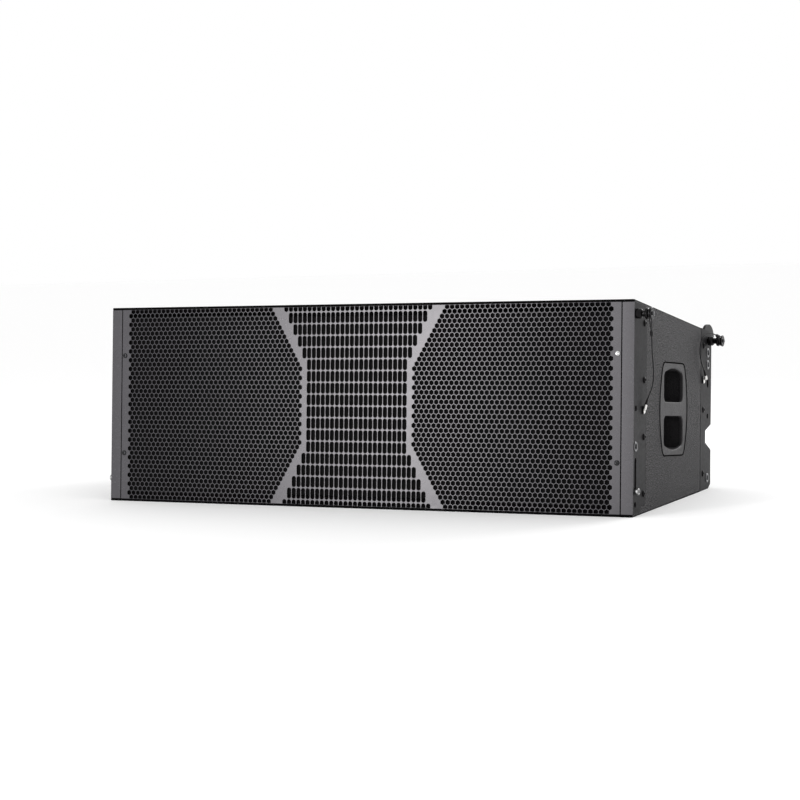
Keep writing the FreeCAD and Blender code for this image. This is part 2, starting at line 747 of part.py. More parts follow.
def lanyard_eye(route, y, z):
    """Ferrule at the lanyard's end and the wire loop round the pin's groove."""
    points = route_points(route)
    sleeve_way = (points[-1] - points[-2]).normalize()
    sleeve = ferrule(points[-1], sleeve_way)
    root = points[-1] + sleeve_way * (FERRULE_LENGTH - 1.2)
    centre = Vector(EYE_X, y, z)
    gap = Vector(0, root.y - y, root.z - z)
    reach = gap.Length
    gap.normalize()
    side = Vector(0, gap.z, -gap.y)
    spread = math.acos(EYE_R / reach)
    first = centre + (gap * math.cos(spread) + side * math.sin(spread)) * EYE_R
    last = centre + (gap * math.cos(spread) - side * math.sin(spread)) * EYE_R
    far = centre - gap * EYE_R
    neck = Vector(EYE_X, root.y, root.z)
    path = Part.Wire([
        Part.makeLine(neck, first), Part.Arc(first, far, last).toShape(),
        Part.makeLine(last, neck + (last - neck).normalize() * 2.4),
    ])
    disc = Part.Wire([Part.makeCircle(WIRE_R, neck, first - neck)])
    loop = path.makePipeShell([disc], True, False)
    return sleeve.fuse(loop).removeSplitter()


def lanyard_anchor(route, spot):
    """Crimp terminal for the lanyard's fixed end and the screw that holds it."""
    y, z = spot
    end, following = route_points(route)[:2]
    way = (following - end).normalize()
    plate = box(HALF, HALF + ANCHOR_PLATE, y - 5, y + 5, z - 5, z + 9)
    barrel = Part.makeCylinder(ANCHOR_BARREL_R, ANCHOR_BARREL, end - way * ANCHOR_BARREL, way)
    web = box(HALF, end.x, y - 1.6, y + 1.6, z + 2, z + 9)
    terminal = plate.fuse([barrel, web]).removeSplitter()
    terminal = terminal.cut(rod_x(ANCHOR_SCREW_R + 0.1, HALF - 1, HALF + 3, y, z))
    r = ANCHOR_SCREW_R
    head = ANCHOR_PLATE
    profile = [
        (0, -ANCHOR_SCREW), (r, -ANCHOR_SCREW), (r, head), (r + 2, head), (r + 2, head + 1),
        (r + 0.4, head + 2), (0, head + 2),
    ]
    return terminal, lathe(profile, Vector(HALF, y, z), Vector(1, 0, 0))


def lanyard_anchors():
    pieces = []
    for route, spot in ((FRONT_LANYARD, FRONT_ANCHOR), (REAR_LANYARD, REAR_ANCHOR)):
        pieces += lanyard_anchor(route, spot)
    return Part.makeCompound(both_sides(pieces))


def anchor_holes():
    r = ANCHOR_SCREW_R + FIT
    spots = (FRONT_ANCHOR, REAR_ANCHOR)
    return [rod_x(r, HALF - ANCHOR_SCREW - 1, HALF + 1, y, z) for y, z in spots]


# ---------------------------------------------------------------- handles

def handle_outline(grow):
    """Barrel-shaped plate outline as a wire on X = 0, grown outwards by grow."""
    w = HANDLE_HALF_WIDTH + grow
    cy, cz = HANDLE_CORNER
    cy += grow
    t = HANDLE_TOP_HALF + grow * 0.6
    h = HANDLE_HALF_HEIGHT + grow

    def at(y, z):
        return Vector(0, HANDLE_Y + y, z)

    mid = ((cy + t) / 2 + 1.6, (cz + h) / 2 + 1.6)
    edges = []
    for s in (1, -1):
        edges.append(Part.Arc(at(s * cy, -s * cz), at(s * w, 0), at(s * cy, s * cz)).toShape())
        corner = Part.Arc(at(s * cy, s * cz), at(s * mid[0], s * mid[1]), at(s * t, s * h))
        edges.append(corner.toShape())
        edges.append(Part.makeLine(at(s * t, s * h), at(-s * t, s * h)))
        corner = Part.Arc(at(-s * t, s * h), at(-s * mid[0], s * mid[1]), at(-s * cy, s * cz))
        edges.append(corner.toShape())
    return Part.Wire(Part.__sortEdges__(edges))


def handle_plate_solid(grow, x0, x1):
    plate = Part.Face(handle_outline(grow)).extrude(Vector(x1 - x0, 0, 0))
    plate.translate(Vector(x0, 0, 0))
    return plate


def finger_opening(sign):
    """Opening above or below the grip, flat at the grip and arched away from it."""
    y = HANDLE_Y
    w = OPENING_HALF_WIDTH
    r = OPENING_CORNER
    z0, z1 = OPENING_Z

    def at(dy, z):
        return Vector(0, y + dy, sign * z)

    k = r * (1 - math.sqrt(0.5))
    edges = [
        Part.makeLine(at(-w + r, z0), at(w - r, z0)),
        Part.Arc(at(w - r, z0), at(w - k, z0 + k), at(w, z0 + r)).toShape(),
        Part.makeLine(at(w, z0 + r), at(w, z1 - r)),
        Part.Arc(at(w, z1 - r), at(w - k, z1 - k), at(w - r, z1)).toShape(),
        Part.Arc(at(w - r, z1), at(0, z1 + OPENING_ARCH), at(-w + r, z1)).toShape(),
        Part.Arc(at(-w + r, z1), at(-w + k, z1 - k), at(-w, z1 - r)).toShape(),
        Part.makeLine(at(-w, z1 - r), at(-w, z0 + r)),
        Part.Arc(at(-w, z0 + r), at(-w + k, z0 + k), at(-w + r, z0)).toShape(),
    ]
    face = Part.Face(Part.Wire(edges))
    tool = face.extrude(Vector(GRIP_DEPTH + 2, 0, 0))
    tool.translate(Vector(HALF - GRIP_DEPTH, 0, 0))
    return tool


def handle():
    """Moulded cup with a flush plate, two finger openings and the grip between them."""
    y = HANDLE_Y
    plate = handle_plate_solid(0.0, HALF - HANDLE_PLATE, HALF)
    back = HALF - CUP_DEPTH
    w, h, t = CUP_HALF_WIDTH, CUP_HALF_HEIGHT, CUP_WALL
    cup = box(back, HALF - 1, y - w, y + w, -h, h)
    body = plate.fuse(cup).removeSplitter()
    cavity = box(back + t, HALF - HANDLE_PLATE, y - w + t, y + w - t, -h + t, h - t)
    body = body.cut([cavity, finger_opening(1), finger_opening(-1)])
    grip_z = OPENING_Z[0]
    grip = box(HALF - GRIP_DEPTH, HALF - HANDLE_PLATE + 1, y - w + 1, y + w - 1, -grip_z, grip_z)
    inner_edges = [
        edge for edge in grip.Edges
        if edge.BoundBox.XMax < HALF - GRIP_DEPTH + 0.01 and edge.BoundBox.YLength > 50
    ]
    return body.fuse(grip.makeFillet(GRIP_ROUND, inner_edges)).removeSplitter()


# ---------------------------------------------------------------- drivers

def on_axis(profile, x, y, z):
    """Lathe a (radius, depth) profile about an axis along Y through (x, z)."""
    return lathe(profile, Vector(x, y, z), Vector(0, 1, 0))


def woofer_basket(x):
    front = BAFFLE_Y[0] - BASKET_FLANGE
    back = BASKET_BACK_Y
    inner_r = CUTOUT_R - 5
    profile = [
        (inner_r, front), (BASKET_R, front), (BASKET_R, BAFFLE_Y[0]), (CUTOUT_R - 1, BAFFLE_Y[0]),
        (BASKET_BACK_R + 2, back), (COIL_R + 9, back), (COIL_R + 9, back - 4),
        (BASKET_BACK_R - 2, back - 4), (inner_r, BAFFLE_Y[0]),
    ]
    basket = on_axis(profile, x, 0, 0)
    window = prism_xy([(72, 49), (126, 49), (126, 96), (72, 96)], -24, 24)
    tools = []
    for i in range(BASKET_WINDOWS):
        tool = window.copy()
        tool.rotate(Vector(0, 0, 0), Vector(0, 1, 0), (i + 0.5) * 360 / BASKET_WINDOWS)
        tool.translate(Vector(x, 0, 0))
        tools.append(tool)
    for sx, sz in woofer_screw_spots():
        tools.append(screw_hole_y(sx, front - 1, BAFFLE_Y[1], sz))
    return basket.cut(tools)


def woofer_magnet(x):
    """Front plate, ferrite ring, and back plate with its pole piece."""
    y = BASKET_BACK_Y
    front_plate = on_axis([(41, y), (72, y), (72, y + 8), (41, y + 8)], x, 0, 0)
    ferrite = on_axis([(52, y + 8), (88, y + 8), (88, y + 32), (52, y + 32)], x, 0, 0)
    profile = [(0, y), (35, y), (35, y + 32), (84, y + 32), (84, y + 42), (0, y + 42)]
    return Part.makeCompound([front_plate, ferrite, on_axis(profile, x, 0, 0)])


def woofer_cone(x):
    """Paper cone, dust cap and voice-coil former, which move as one."""
    r = COIL_R
    y = CONE_FRONT_Y
    cone = [
        (CONE_R, y), (CONE_R, y + 1.6), (104, y + 6.0), (r + 0.5, 80.0), (r + 0.5, 114.0),
        (r - 0.5, 114.0), (r - 0.5, 70.0), (r * 0.72, 63.6), (r * 0.4, 60.4), (0, 59.2),
        (0, 57.8), (r * 0.42, 59.0), (r * 0.76, 62.2), (r + 2.0, 69.4), (103, 37.6),
    ]
    return on_axis(cone, x, 0, 0)


def woofer_suspension(x):
    """Half-roll surround in front and the ring-shaped spider behind."""
    mid = (CONE_R + 0.5 + CUTOUT_R - 6) / 2
    reach = mid - CONE_R - 0.5

    def half_circle(r, degrees):
        turns = [math.radians(a) for a in degrees]
        return [(mid - r * math.cos(a), CONE_FRONT_Y - r * math.sin(a)) for a in turns]

    outside = half_circle(reach, range(0, 181, 20))
    inside = half_circle(reach - 1.2, range(180, -1, -20))
    roll = on_axis(outside + inside, x, 0, 0)
    a, b, y = COIL_R + 1.2, SPIDER_R, SPIDER_Y
    spider = on_axis([(a, y), (b, y), (b, y + 1.2), (a, y + 1.2)], x, 0, 0)
    return Part.makeCompound([roll, spider])


def mid_place(shape, side):
    """Put a shape drawn about the origin, facing -Y, on a slanted mid-range plate."""
    cx, cy = MID_PLATE_CENTRE
    shape.rotate(Vector(0, 0, 0), Vector(0, 0, 1), -45)
    shape.translate(Vector(cx, cy, 0))
    return shape if side > 0 else mirror_x(shape)


def mid_baffles():
    """Two slanted plates that form the mid-range horn."""
    plates = []
    for side in (-1, 1):
        half = MID_PLATE_LENGTH / 2
        h = MID_PLATE_HALF_HEIGHT
        plate = box(-half, half, 0, MID_PLATE, -h, h)
        plate = plate.cut([rod_y(MID_HOLE_R, -1, MID_PLATE + 1, 0, z) for z in (-MID_Z, MID_Z)])
        plates.append(mid_place(plate, side))
    return Part.makeCompound(plates)


def mid_driver_frames():
    frames = []
    t = MID_PLATE
    profile = [
        (MID_HOLE_R - 2, t), (MID_R, t), (MID_R, t + 3), (MID_HOLE_R, t + 3), (30, t + 26),
        (36, t + 26), (36, t + 42), (0, t + 42), (0, t + 38), (26, t + 24),
    ]
    for side in (-1, 1):
        for z in (-MID_Z, MID_Z):
            frames.append(mid_place(on_axis(profile, 0, 0, z), side))
    return Part.makeCompound(frames)


def mid_driver_cones():
    cones = []
    t = MID_PLATE
    profile = [(48, t + 1), (49, t + 1), (12, t + 18), (0, t + 15), (0, t + 14), (12, t + 16)]
    for side in (-1, 1):
        for z in (-MID_Z, MID_Z):
            cones.append(mid_place(on_axis(profile, 0, 0, z), side))
    return Part.makeCompound(cones)


def hf_waveguide():
    """Tall narrow horn between the mid-range plates, with a rear mounting plate."""
    y0, y1 = HORN_Y
    h = HORN_HALF_HEIGHT
    end = y1 + HORN_FLANGE
    body = prism_xy([(-33, y0), (33, y0), (24, y1), (-24, y1)], -h, h)
    body = body.fuse(box(-30, 30, y1, end, -h, h)).removeSplitter()
    outline = [(-27, y0 - 1), (27, y0 - 1), (12.5, end + 1), (-12.5, end + 1)]
    flare = prism_xy(outline, -FLARE_HALF_HEIGHT, FLARE_HALF_HEIGHT)
    web = box(-40, 40, y1 - 30, end + 1, -40, 40)
    return body.cut(flare.cut(web))


def hf_drivers():
    y = HORN_Y[1] + HORN_FLANGE
    r = DRIVER_R
    profile = [
        (0, y), (34, y), (34, y + 8), (r, y + 8), (r, y + 34), (r - 4, y + 38),
        (r - 4, y + 50), (r - 10, y + 56), (0, y + 56),
    ]
    return Part.makeCompound([on_axis(profile, 0, 0, z) for z in (-DRIVER_Z, DRIVER_Z)])


# ---------------------------------------------------------------- electrics

def crossover_board():
    """Board on standoffs on the back panel, with its coils, capacitors and a resistor block."""
    wall = DEPTH - PLY
    under = wall - BOARD_STANDOFF
    face = under - BOARD_THICK
    x0, x1 = BOARD_X
    h = BOARD_HALF_HEIGHT
    board = box(x0, x1, face, under, -h, h)
    pieces = [rod_y(4, under, wall, x, z) for x in (x0 + 8, x1 - 8) for z in (8 - h, h - 8)]
    pieces += [rod_y(24, face - 32, face, x, z) for x, z in ((-395, 25), (-335, -25), (-395, -32))]
    pieces += [rod_y(11, face - 36, face, x, 32) for x in (-300, -270, -240)]
    pieces += [box(-290, -240, face - 14, face, -45, -10)]
    return board.fuse(pieces).removeSplitter()


def connector_plate():
    w, h = PLATE_HALF
    front, behind = DEPTH - PLATE_THICK, DEPTH
    plate = box(-w, w, front, behind, -h, h)
    tools = [rod_y(SOCKET_R + 0.1, front - 1, behind + 1, x, 0) for x in SOCKET_X]
    tools += [screw_hole_y(x, front - 1, behind + 1, z) for x, z in plate_screw_spots()]
    return plate.cut(tools)


def connector_sockets():
    """Four round four-pole sockets with a key slot and a raised flange."""
    sockets = []
    for x in SOCKET_X:
        shell = [
            (0, DEPTH - SOCKET_DEPTH), (SOCKET_R, DEPTH - SOCKET_DEPTH), (SOCKET_R, DEPTH), (15.5, DEPTH),
            (15.5, DEPTH + 1.8), (14.5, DEPTH + 2.8), (10.5, DEPTH + 2.8), (10.5, DEPTH - 20),
            (7.5, DEPTH - 20), (7.5, DEPTH + 1.0), (0, DEPTH + 1.0),
        ]
        socket = on_axis(shell, x, 0, 0)
        key = box(x - 1.5, x + 1.5, DEPTH - 18, DEPTH + 4, 7.0, 11.4)
        sockets.append(socket.cut(key))
    return Part.makeCompound(sockets)


def wood_screws():
    """Screws of the grille, low-frequency drivers, connector plate and rear guides."""
    front = BAFFLE_Y[0] - BASKET_FLANGE
    screws = [screw_y(x, 0, z, 24) for x, z in grille_screw_spots()]
    screws += [screw_y(x, front, z, 18) for x, z in woofer_screw_spots()]
    screws += [screw_y(x, DEPTH, z, 15, 1.0) for x, z in plate_screw_spots()]
    back = DEPTH + GUIDE_LEG
    screws += [screw_y(x, back, z, 18, 1.0) for x, z in guide_screw_spots()]
    return Part.makeCompound(screws)


# ---------------------------------------------------------------- all parts

def save(name, shape):
    """Write one node's STEP file in the row frame."""
    placed = shape.transformed(row_placement().toMatrix(), copy=True)
    if not placed.isValid():
        print("not valid:", name)
    placed.exportStep("parts/%s.step" % name)


def save_pair(name, shape):
    save("right_" + name, shape)
    save("left_" + name, mirror_x(shape))


def save_pin(place, route, y, z, turned=lambda shape: shape):
    """Write a pin, its button, its lanyard and the lanyard's eye."""
    save(place + "_pin", turned(pin(y, z)))
    save(place + "_pin_button", turned(pin_button(y, z)))
    save(place + "_lanyard", turned(lanyard(place + "_lanyard", route)))
    save(place + "_lanyard_eye", turned(lanyard_eye(route, y, z)))


def main():
    os.makedirs("parts", exist_ok=True)
    save("top_panel", top_panel())
    save("bottom_panel", bottom_panel())
    save("right_side_panel", side_panel())
    save("left_side_panel", mirror_x(side_panel().cut(parking_hole())))
    save("back_panel", back_panel())
    save("front_baffle", front_baffle())
    save("chamber_partitions", chamber_partitions())

    save("front_grille", front_grille())
    save("grille_foam", grille_foam())
    save("front_trims", front_trims())

    save("right_front_rail", front_rail())
    save("left_front_rail", mirror_x(front_rail().cut(parking_hole())))
    save_pair("front_link", front_link())
    save_pair("link_knob", link_knob())
    save_pair("rear_rail", rear_rail())
    save_pair("rear_guide", rear_guide())
    save_pair("rear_link", rear_link())
    save("rail_bushes", rail_bushes())
    save("rail_bolts", rail_bolts())

    front = (FRONT_LANYARD, FRONT_COLUMN, FRONT_PIN_Z)
    parked = (PARKED_LANYARD, *PARKING_HOLE)
    rear = (REAR_LANYARD, REAR_COLUMN, REAR_PIN_Z)
    save_pin("right_front", *front)
    save_pin("left_front", *parked, mirror_x)
    save_pin("right_rear", *rear)
    save_pin("left_rear", *rear, mirror_x)
    save("lanyard_anchors", lanyard_anchors())

    save_pair("handle", handle())
    for side, x in (("left", -WOOFER_X), ("right", WOOFER_X)):
        save(side + "_woofer_basket", woofer_basket(x))
        save(side + "_woofer_magnet", woofer_magnet(x))
        save(side + "_woofer_cone", woofer_cone(x))
        save(side + "_woofer_suspension", woofer_suspension(x))
    save("mid_baffles", mid_baffles())
    save("mid_driver_frames", mid_driver_frames())
    save("mid_driver_cones", mid_driver_cones())
    save("hf_waveguide", hf_waveguide())
    save("hf_drivers", hf_drivers())
    save("crossover_board", crossover_board())
    save("connector_plate", connector_plate())
    save("connector_sockets", connector_sockets())
    save("wood_screws", wood_screws())


main()
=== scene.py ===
import json
import math
import random

import bmesh
import bpy
from mathutils import Matrix, Vector, noise


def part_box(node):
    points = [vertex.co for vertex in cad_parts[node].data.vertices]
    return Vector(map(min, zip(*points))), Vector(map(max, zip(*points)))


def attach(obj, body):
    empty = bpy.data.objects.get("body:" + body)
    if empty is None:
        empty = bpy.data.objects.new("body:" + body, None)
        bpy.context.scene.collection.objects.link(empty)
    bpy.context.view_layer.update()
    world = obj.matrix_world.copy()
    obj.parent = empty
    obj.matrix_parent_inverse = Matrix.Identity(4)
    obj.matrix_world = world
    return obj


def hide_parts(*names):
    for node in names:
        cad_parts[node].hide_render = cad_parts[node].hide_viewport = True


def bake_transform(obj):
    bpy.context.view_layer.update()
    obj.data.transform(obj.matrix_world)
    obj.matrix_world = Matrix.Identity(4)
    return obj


# Looks of the line array module, in metres.  The "box frame" used below has X to the right
# seen from the front, Y back into the box and Z up along the front, with its origin in the
# middle of the grille's face.  The row frame is tilted against it, because the wedge-shaped
# box rests on its sloping bottom face.

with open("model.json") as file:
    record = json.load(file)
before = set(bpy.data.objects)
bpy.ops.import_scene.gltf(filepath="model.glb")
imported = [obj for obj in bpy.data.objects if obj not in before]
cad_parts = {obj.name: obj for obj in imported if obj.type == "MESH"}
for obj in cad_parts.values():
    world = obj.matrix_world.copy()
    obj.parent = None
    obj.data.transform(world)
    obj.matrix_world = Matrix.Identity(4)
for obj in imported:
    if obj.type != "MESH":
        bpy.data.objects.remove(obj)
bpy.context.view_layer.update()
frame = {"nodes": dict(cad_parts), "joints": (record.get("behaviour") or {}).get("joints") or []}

# How close two vertices are to be one, and how close a point is to a plane to lie on it
WELD = 1e-6
NEAR = 0.0003
SIDES = {"left": -1, "right": 1}

# Camera, in the box frame
CAMERA_AT = (1.6882, -3.2730, -0.0161)
CAMERA_YAW = 26.016
CAMERA_PITCH = 0.438
CAMERA_ROLL = 0.576
CAMERA_LENS = 89.33
SENSOR = 36.0
CAMERA_CLIP = (0.05, 200.0)

# Stage
FLOOR_RADIUS = 60.0
FLOOR_TONE = 0.985

# Perforated grille.  The wings' holes start further out in each row beyond the waist, and the
# slots are counted for each row from the middle up.  Each hole gets a cell of metal round it.
SHEET_THICK = 0.0012
HEX_PITCH = 0.010
HEX_FLATS = 0.0090
HEX_ROWS = 21
WAIST_ROWS = 8
WING_START = 0.119
WING_END = 0.499
SLOT_PITCH = (0.010, 0.022)
SLOT_SIZE = (0.0088, 0.0207)
SLOT_CORNER = 0.0040
SLOTS_IN_ROW = (21, 21, 21, 21, 23, 25, 27, 29, 31)
SLOT_CORNER_STEPS = 4
HOLE_MARGIN = 0.00015
CELL_MARGIN = 0.00005
CELL_WELD = 0.00004
SCREW_HOLE_R = 0.0023
SCREW_HOLE_STEPS = 24
GRILLE_SCREWS = ((-0.512, -0.0955), (-0.512, 0.0955), (0.512, -0.0955), (0.512, 0.0955))
JOINT_TAPE = (0.0018, 0.0020)
JOINT_TAPE_Y = 0.0008

# Foam behind the grille
FOAM_GRID = (120, 40)
FOAM_UNEVEN = 0.0004
FOAM_WAVE = 22.0

# Cabinet and handles.  An opening is (half width, lower edge, upper edge); the plate's outline
# goes through its half width, its corner and its top, the last two as (Y, Z) from its middle.
HALF_HEIGHT = 0.190
DEPTH = 0.412
SLOPE = math.tan(math.radians(5.0))
CABINET_ROUND = 0.0022
LONG_EDGE = 0.012
HANDLE_Y = 0.220
HANDLE_OPENING = (0.0545, 0.0125, 0.0745)
HANDLE_RIM = 0.003
HANDLE_HALF_WIDTH = 0.078
HANDLE_CORNER = (0.064, 0.073)
HANDLE_TOP = (0.052, 0.084)
SEAM_MIDDLE = 0.0008
SEAM_BULGE = 0.0016
# The bead round each handle plate is painted shade standing in the seam
BEAD_R = 0.0014
BEAD_SUNK = 0.0003
# How far back the walls of the front recess, and how far in from the sides the seam walls, get
# painted shade
RECESS_DEPTH = 0.036
WALL_SEEN = 0.012

# Lanyards: black coated wire rope, as (distance out from the side, Y, Z) in the box frame
WIRE_R = 0.00125
STRANDS = 6
ROPE_LAY = 0.012
ROUTES = {
    "front": (
        (0.0050, 0.0500, 0.0060), (0.0056, 0.0522, 0.0120), (0.0076, 0.0570, 0.0215),
        (0.0104, 0.0630, 0.0325), (0.0130, 0.0658, 0.0465), (0.0148, 0.0622, 0.0620),
        (0.0166, 0.0544, 0.0770), (0.0188, 0.0436, 0.0910), (0.0214, 0.0328, 0.1040),
        (0.0234, 0.0254, 0.1160), (0.0241, 0.0226, 0.1260),
    ),
    "parked": (
        (0.0050, 0.0500, 0.0060), (0.0056, 0.0522, 0.0120), (0.0072, 0.0582, 0.0230),
        (0.0090, 0.0690, 0.0340), (0.0110, 0.0830, 0.0445), (0.0135, 0.0975, 0.0560),
        (0.0160, 0.1080, 0.0695), (0.0186, 0.1125, 0.0840), (0.0212, 0.1105, 0.0970),
        (0.0234, 0.1025, 0.1050), (0.0241, 0.0935, 0.1080),
    ),
    "rear": (
        (0.0050, 0.3970, 0.0660), (0.0052, 0.3920, 0.0725), (0.0054, 0.3800, 0.0815),
        (0.0054, 0.3675, 0.0920), (0.0052, 0.3606, 0.1070), (0.0054, 0.3615, 0.1230),
        (0.0068, 0.3680, 0.1355), (0.0098, 0.3785, 0.1435), (0.0142, 0.3885, 0.1468),
        (0.0192, 0.3975, 0.1458), (0.0232, 0.4050, 0.1429),
    ),
}
LANYARDS = {
    ("right", "front"): ("front", 0.137),
    ("left", "front"): ("parked", 0.137),
    ("right", "rear"): ("rear", 0.129),
    ("left", "rear"): ("rear", 0.129),
}

# Eyes in the pins' grooves, ferrules as (radius, length), and the boots over the anchor ends,
# which cover one part in BOOT_SHARE of the rope
EYE_OUT = 0.0245
EYE_R = 0.0082
EYE_STEPS = 40
NECK_STEPS = 6
NECK_SUNK = 0.0012
FERRULE = (0.0030, 0.0090)
FERRULE_BANDS = 4
FERRULE_WAIST = 0.88
FERRULE_END = 0.72
BOOT_WIDTH = 1.9
BOOT_TAPER = 0.35
BOOT_SHARE = 9
ANCHOR_PLATE_TOP = 0.0024


def box_frame():
    """Matrix from the box frame to the row frame, read from the CAD's own parts."""
    slide = next(j for j in frame["joints"] if j["name"] == "right_front_link_slide")
    right = Vector((1, 0, 0))
    up = Vector(slide["axis"]).normalized()
    back = up.cross(right)
    corners = [v.co for v in frame["nodes"]["front_grille"].data.vertices]
    face = min(co.dot(back) for co in corners)
    heights = [co.dot(up) for co in corners]
    middle = (min(heights) + max(heights)) / 2
    turn = Matrix((right, back, up)).transposed().to_4x4()
    return Matrix.Translation(back * face + up * middle) @ turn


BOX = box_frame()
HALF_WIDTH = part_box("right_side_panel")[1].x


def size_in_box(node):
    """Lowest and highest corner of a CAD node in the box frame."""
    back = BOX.inverted()
    corners = [back @ v.co for v in frame["nodes"][node].data.vertices]
    low = Vector([min(c[i] for c in corners) for i in range(3)])
    high = Vector([max(c[i] for c in corners) for i in range(3)])
    return low, high


# ---------------------------------------------------------------- camera and stage

def make_camera():
    """Camera at the fitted place, turned by yaw, pitch and roll in the box frame."""
    yaw, pitch, roll = (math.radians(a) for a in (CAMERA_YAW, CAMERA_PITCH, CAMERA_ROLL))
    ahead = Vector((
        -math.sin(yaw) * math.cos(pitch), math.cos(yaw) * math.cos(pitch), math.sin(pitch),
    ))
    level = Vector((math.cos(yaw), math.sin(yaw), 0))
    above = level.cross(ahead)
    right = level * math.cos(roll) + above * math.sin(roll)
    up = above * math.cos(roll) - level * math.sin(roll)
    place = Matrix((right, up, -ahead)).transposed().to_4x4()
    place.translation = Vector(CAMERA_AT)
    camera = bpy.data.objects.new("camera", bpy.data.cameras.new("camera"))
    camera.data.lens = CAMERA_LENS
    camera.data.sensor_width = SENSOR
    camera.data.clip_start, camera.data.clip_end = CAMERA_CLIP
    camera.matrix_world = BOX @ place
    bpy.context.scene.collection.objects.link(camera)
    bpy.context.scene.camera = camera


def area_light(name, at, target, size, power):
    """Rectangular light at a point of the row frame, facing another point."""
    light = bpy.data.lights.new(name, "AREA")
    light.shape = "RECTANGLE"
    light.size, light.size_y = size
    light.energy = power
    lamp = bpy.data.objects.new(name, light)
    lamp.location = at
    lamp.rotation_euler = (Vector(target) - Vector(at)).to_track_quat("-Z", "Y").to_euler()
    bpy.context.scene.collection.objects.link(lamp)


def make_stage():
    """Pale floor, even white surroundings and soft lights."""
    bm = bmesh.new()
    bmesh.ops.create_circle(bm, cap_ends=True, segments=96, radius=FLOOR_RADIUS)
    mesh = bpy.data.meshes.new("floor")
    bm.to_mesh(mesh)
    bm.free()
    floor = bpy.data.objects.new("floor", mesh)
    bpy.context.scene.collection.objects.link(floor)
    paper = bpy.data.materials.new("pale_floor")
    paper.use_nodes = True
    shader = paper.node_tree.nodes["Principled BSDF"]
    shader.inputs["Base Color"].default_value = (FLOOR_TONE, FLOOR_TONE, FLOOR_TONE, 1)
    shader.inputs["Roughness"].default_value = 0.9
    shader.inputs["Specular IOR Level"].default_value = 0.1
    mesh.materials.append(paper)

    world = bpy.data.worlds.new("surroundings")
    world.use_nodes = True
    sky = world.node_tree.nodes["Background"]
    sky.inputs["Color"].default_value = (1.0, 1.0, 1.0, 1)
    sky.inputs["Strength"].default_value = 1.0
    bpy.context.scene.world = world
    bpy.context.scene.view_settings.view_transform = "Standard"

    area_light("key", at=(-1.38, -3.3, 0.70), target=(0.0, 0.0, 0.19),
               size=(0.72, 1.3), power=57.0)
    area_light("rim", at=(1.5, 2.0, 1.1), target=(0.54, 0.2, 0.3),
               size=(1.2, 0.8), power=25.0)


# ---------------------------------------------------------------- materials

class Nodes:
    """A Principled material under construction, in object coordinates (metres)."""

    def __init__(self, name):
        self.material = bpy.data.materials.new(name)
        self.material.use_nodes = True
        self.tree = self.material.node_tree
        self.shader = self.tree.nodes["Principled BSDF"]
        self.where = self.tree.nodes.new("ShaderNodeTexCoord").outputs["Object"]

    def set(self, **values):
        """Set sockets of the shader by name; returns the material under construction."""
        for name, value in values.items():
            socket = self.shader.inputs[name.replace("_", " ")]
            if isinstance(value, tuple):
                value = (*value, 1.0)
            socket.default_value = value
        return self

    def link(self, a, b):
        self.tree.links.new(a, b)

    def noise(self, scale, detail, rough=0.55, stretch=None):
        node = self.tree.nodes.new("ShaderNodeTexNoise")
        node.inputs["Scale"].default_value = scale
        node.inputs["Detail"].default_value = detail
        node.inputs["Roughness"].default_value = rough
        self.link(self.stretched(stretch), node.inputs["Vector"])
        return node.outputs["Fac"]

    def voronoi(self, scale):
        node = self.tree.nodes.new("ShaderNodeTexVoronoi")
        node.inputs["Scale"].default_value = scale
        self.link(self.where, node.inputs["Vector"])
        return node.outputs["Distance"]

    def stretched(self, stretch):
        if stretch is None:
            return self.where
        node = self.tree.nodes.new("ShaderNodeMapping")
        node.inputs["Scale"].default_value = stretch
        self.link(self.where, node.inputs["Vector"])
        return node.outputs["Vector"]

    def ramp(self, factor, stops):
        node = self.tree.nodes.new("ShaderNodeValToRGB")
        ramp = node.color_ramp
        while len(ramp.elements) < len(stops):
            ramp.elements.new(0.5)
        for element, (place, colour) in zip(ramp.elements, stops):
            element.position = place
            element.color = (*colour, 1.0)
        self.link(factor, node.inputs["Fac"])
        return node.outputs["Color"]

    def spread(self, factor, low, high, start=0.3, end=0.7):
        """Stretch start to end of a factor over low to high."""
        node = self.tree.nodes.new("ShaderNodeMapRange")
        node.inputs["From Min"].default_value = start
        node.inputs["From Max"].default_value = end
        node.inputs["To Min"].default_value = low
        node.inputs["To Max"].default_value = high
        self.link(factor, node.inputs["Value"])
        return node.outputs["Result"]

    def maths(self, kind, a, b):
        node = self.tree.nodes.new("ShaderNodeMath")
        node.operation = kind
        for socket, value in zip(node.inputs, (a, b)):
            if isinstance(value, (int, float)):
                socket.default_value = value
            else:
                self.link(value, socket)
        return node.outputs["Value"]

    def mix(self, factor, a, b):
        node = self.tree.nodes.new("ShaderNodeMix")
        node.data_type = "RGBA"
        self.link(factor, node.inputs["Factor"])
        for name, value in (("A", a), ("B", b)):
            socket = next(s for s in node.inputs if s.name == name and s.type == "RGBA")
            if isinstance(value, tuple):
                socket.default_value = (*value, 1.0)
            else:
                self.link(value, socket)
        return next(s for s in node.outputs if s.type == "RGBA")

    def colour(self, socket):
        self.link(socket, self.shader.inputs["Base Color"])

    def roughness(self, socket):
        self.link(socket, self.shader.inputs["Roughness"])

    def bump(self, height, distance):
        node = self.tree.nodes.new("ShaderNodeBump")
        node.inputs["Strength"].default_value = 1.0
        node.inputs["Distance"].default_value = distance
        self.link(height, node.inputs["Height"])
        self.link(node.outputs["Normal"], self.shader.inputs["Normal"])


PAINT_TINT = (1.0, 0.965, 1.0)


def scaled(colour, k):
    return tuple(c * k for c in colour)


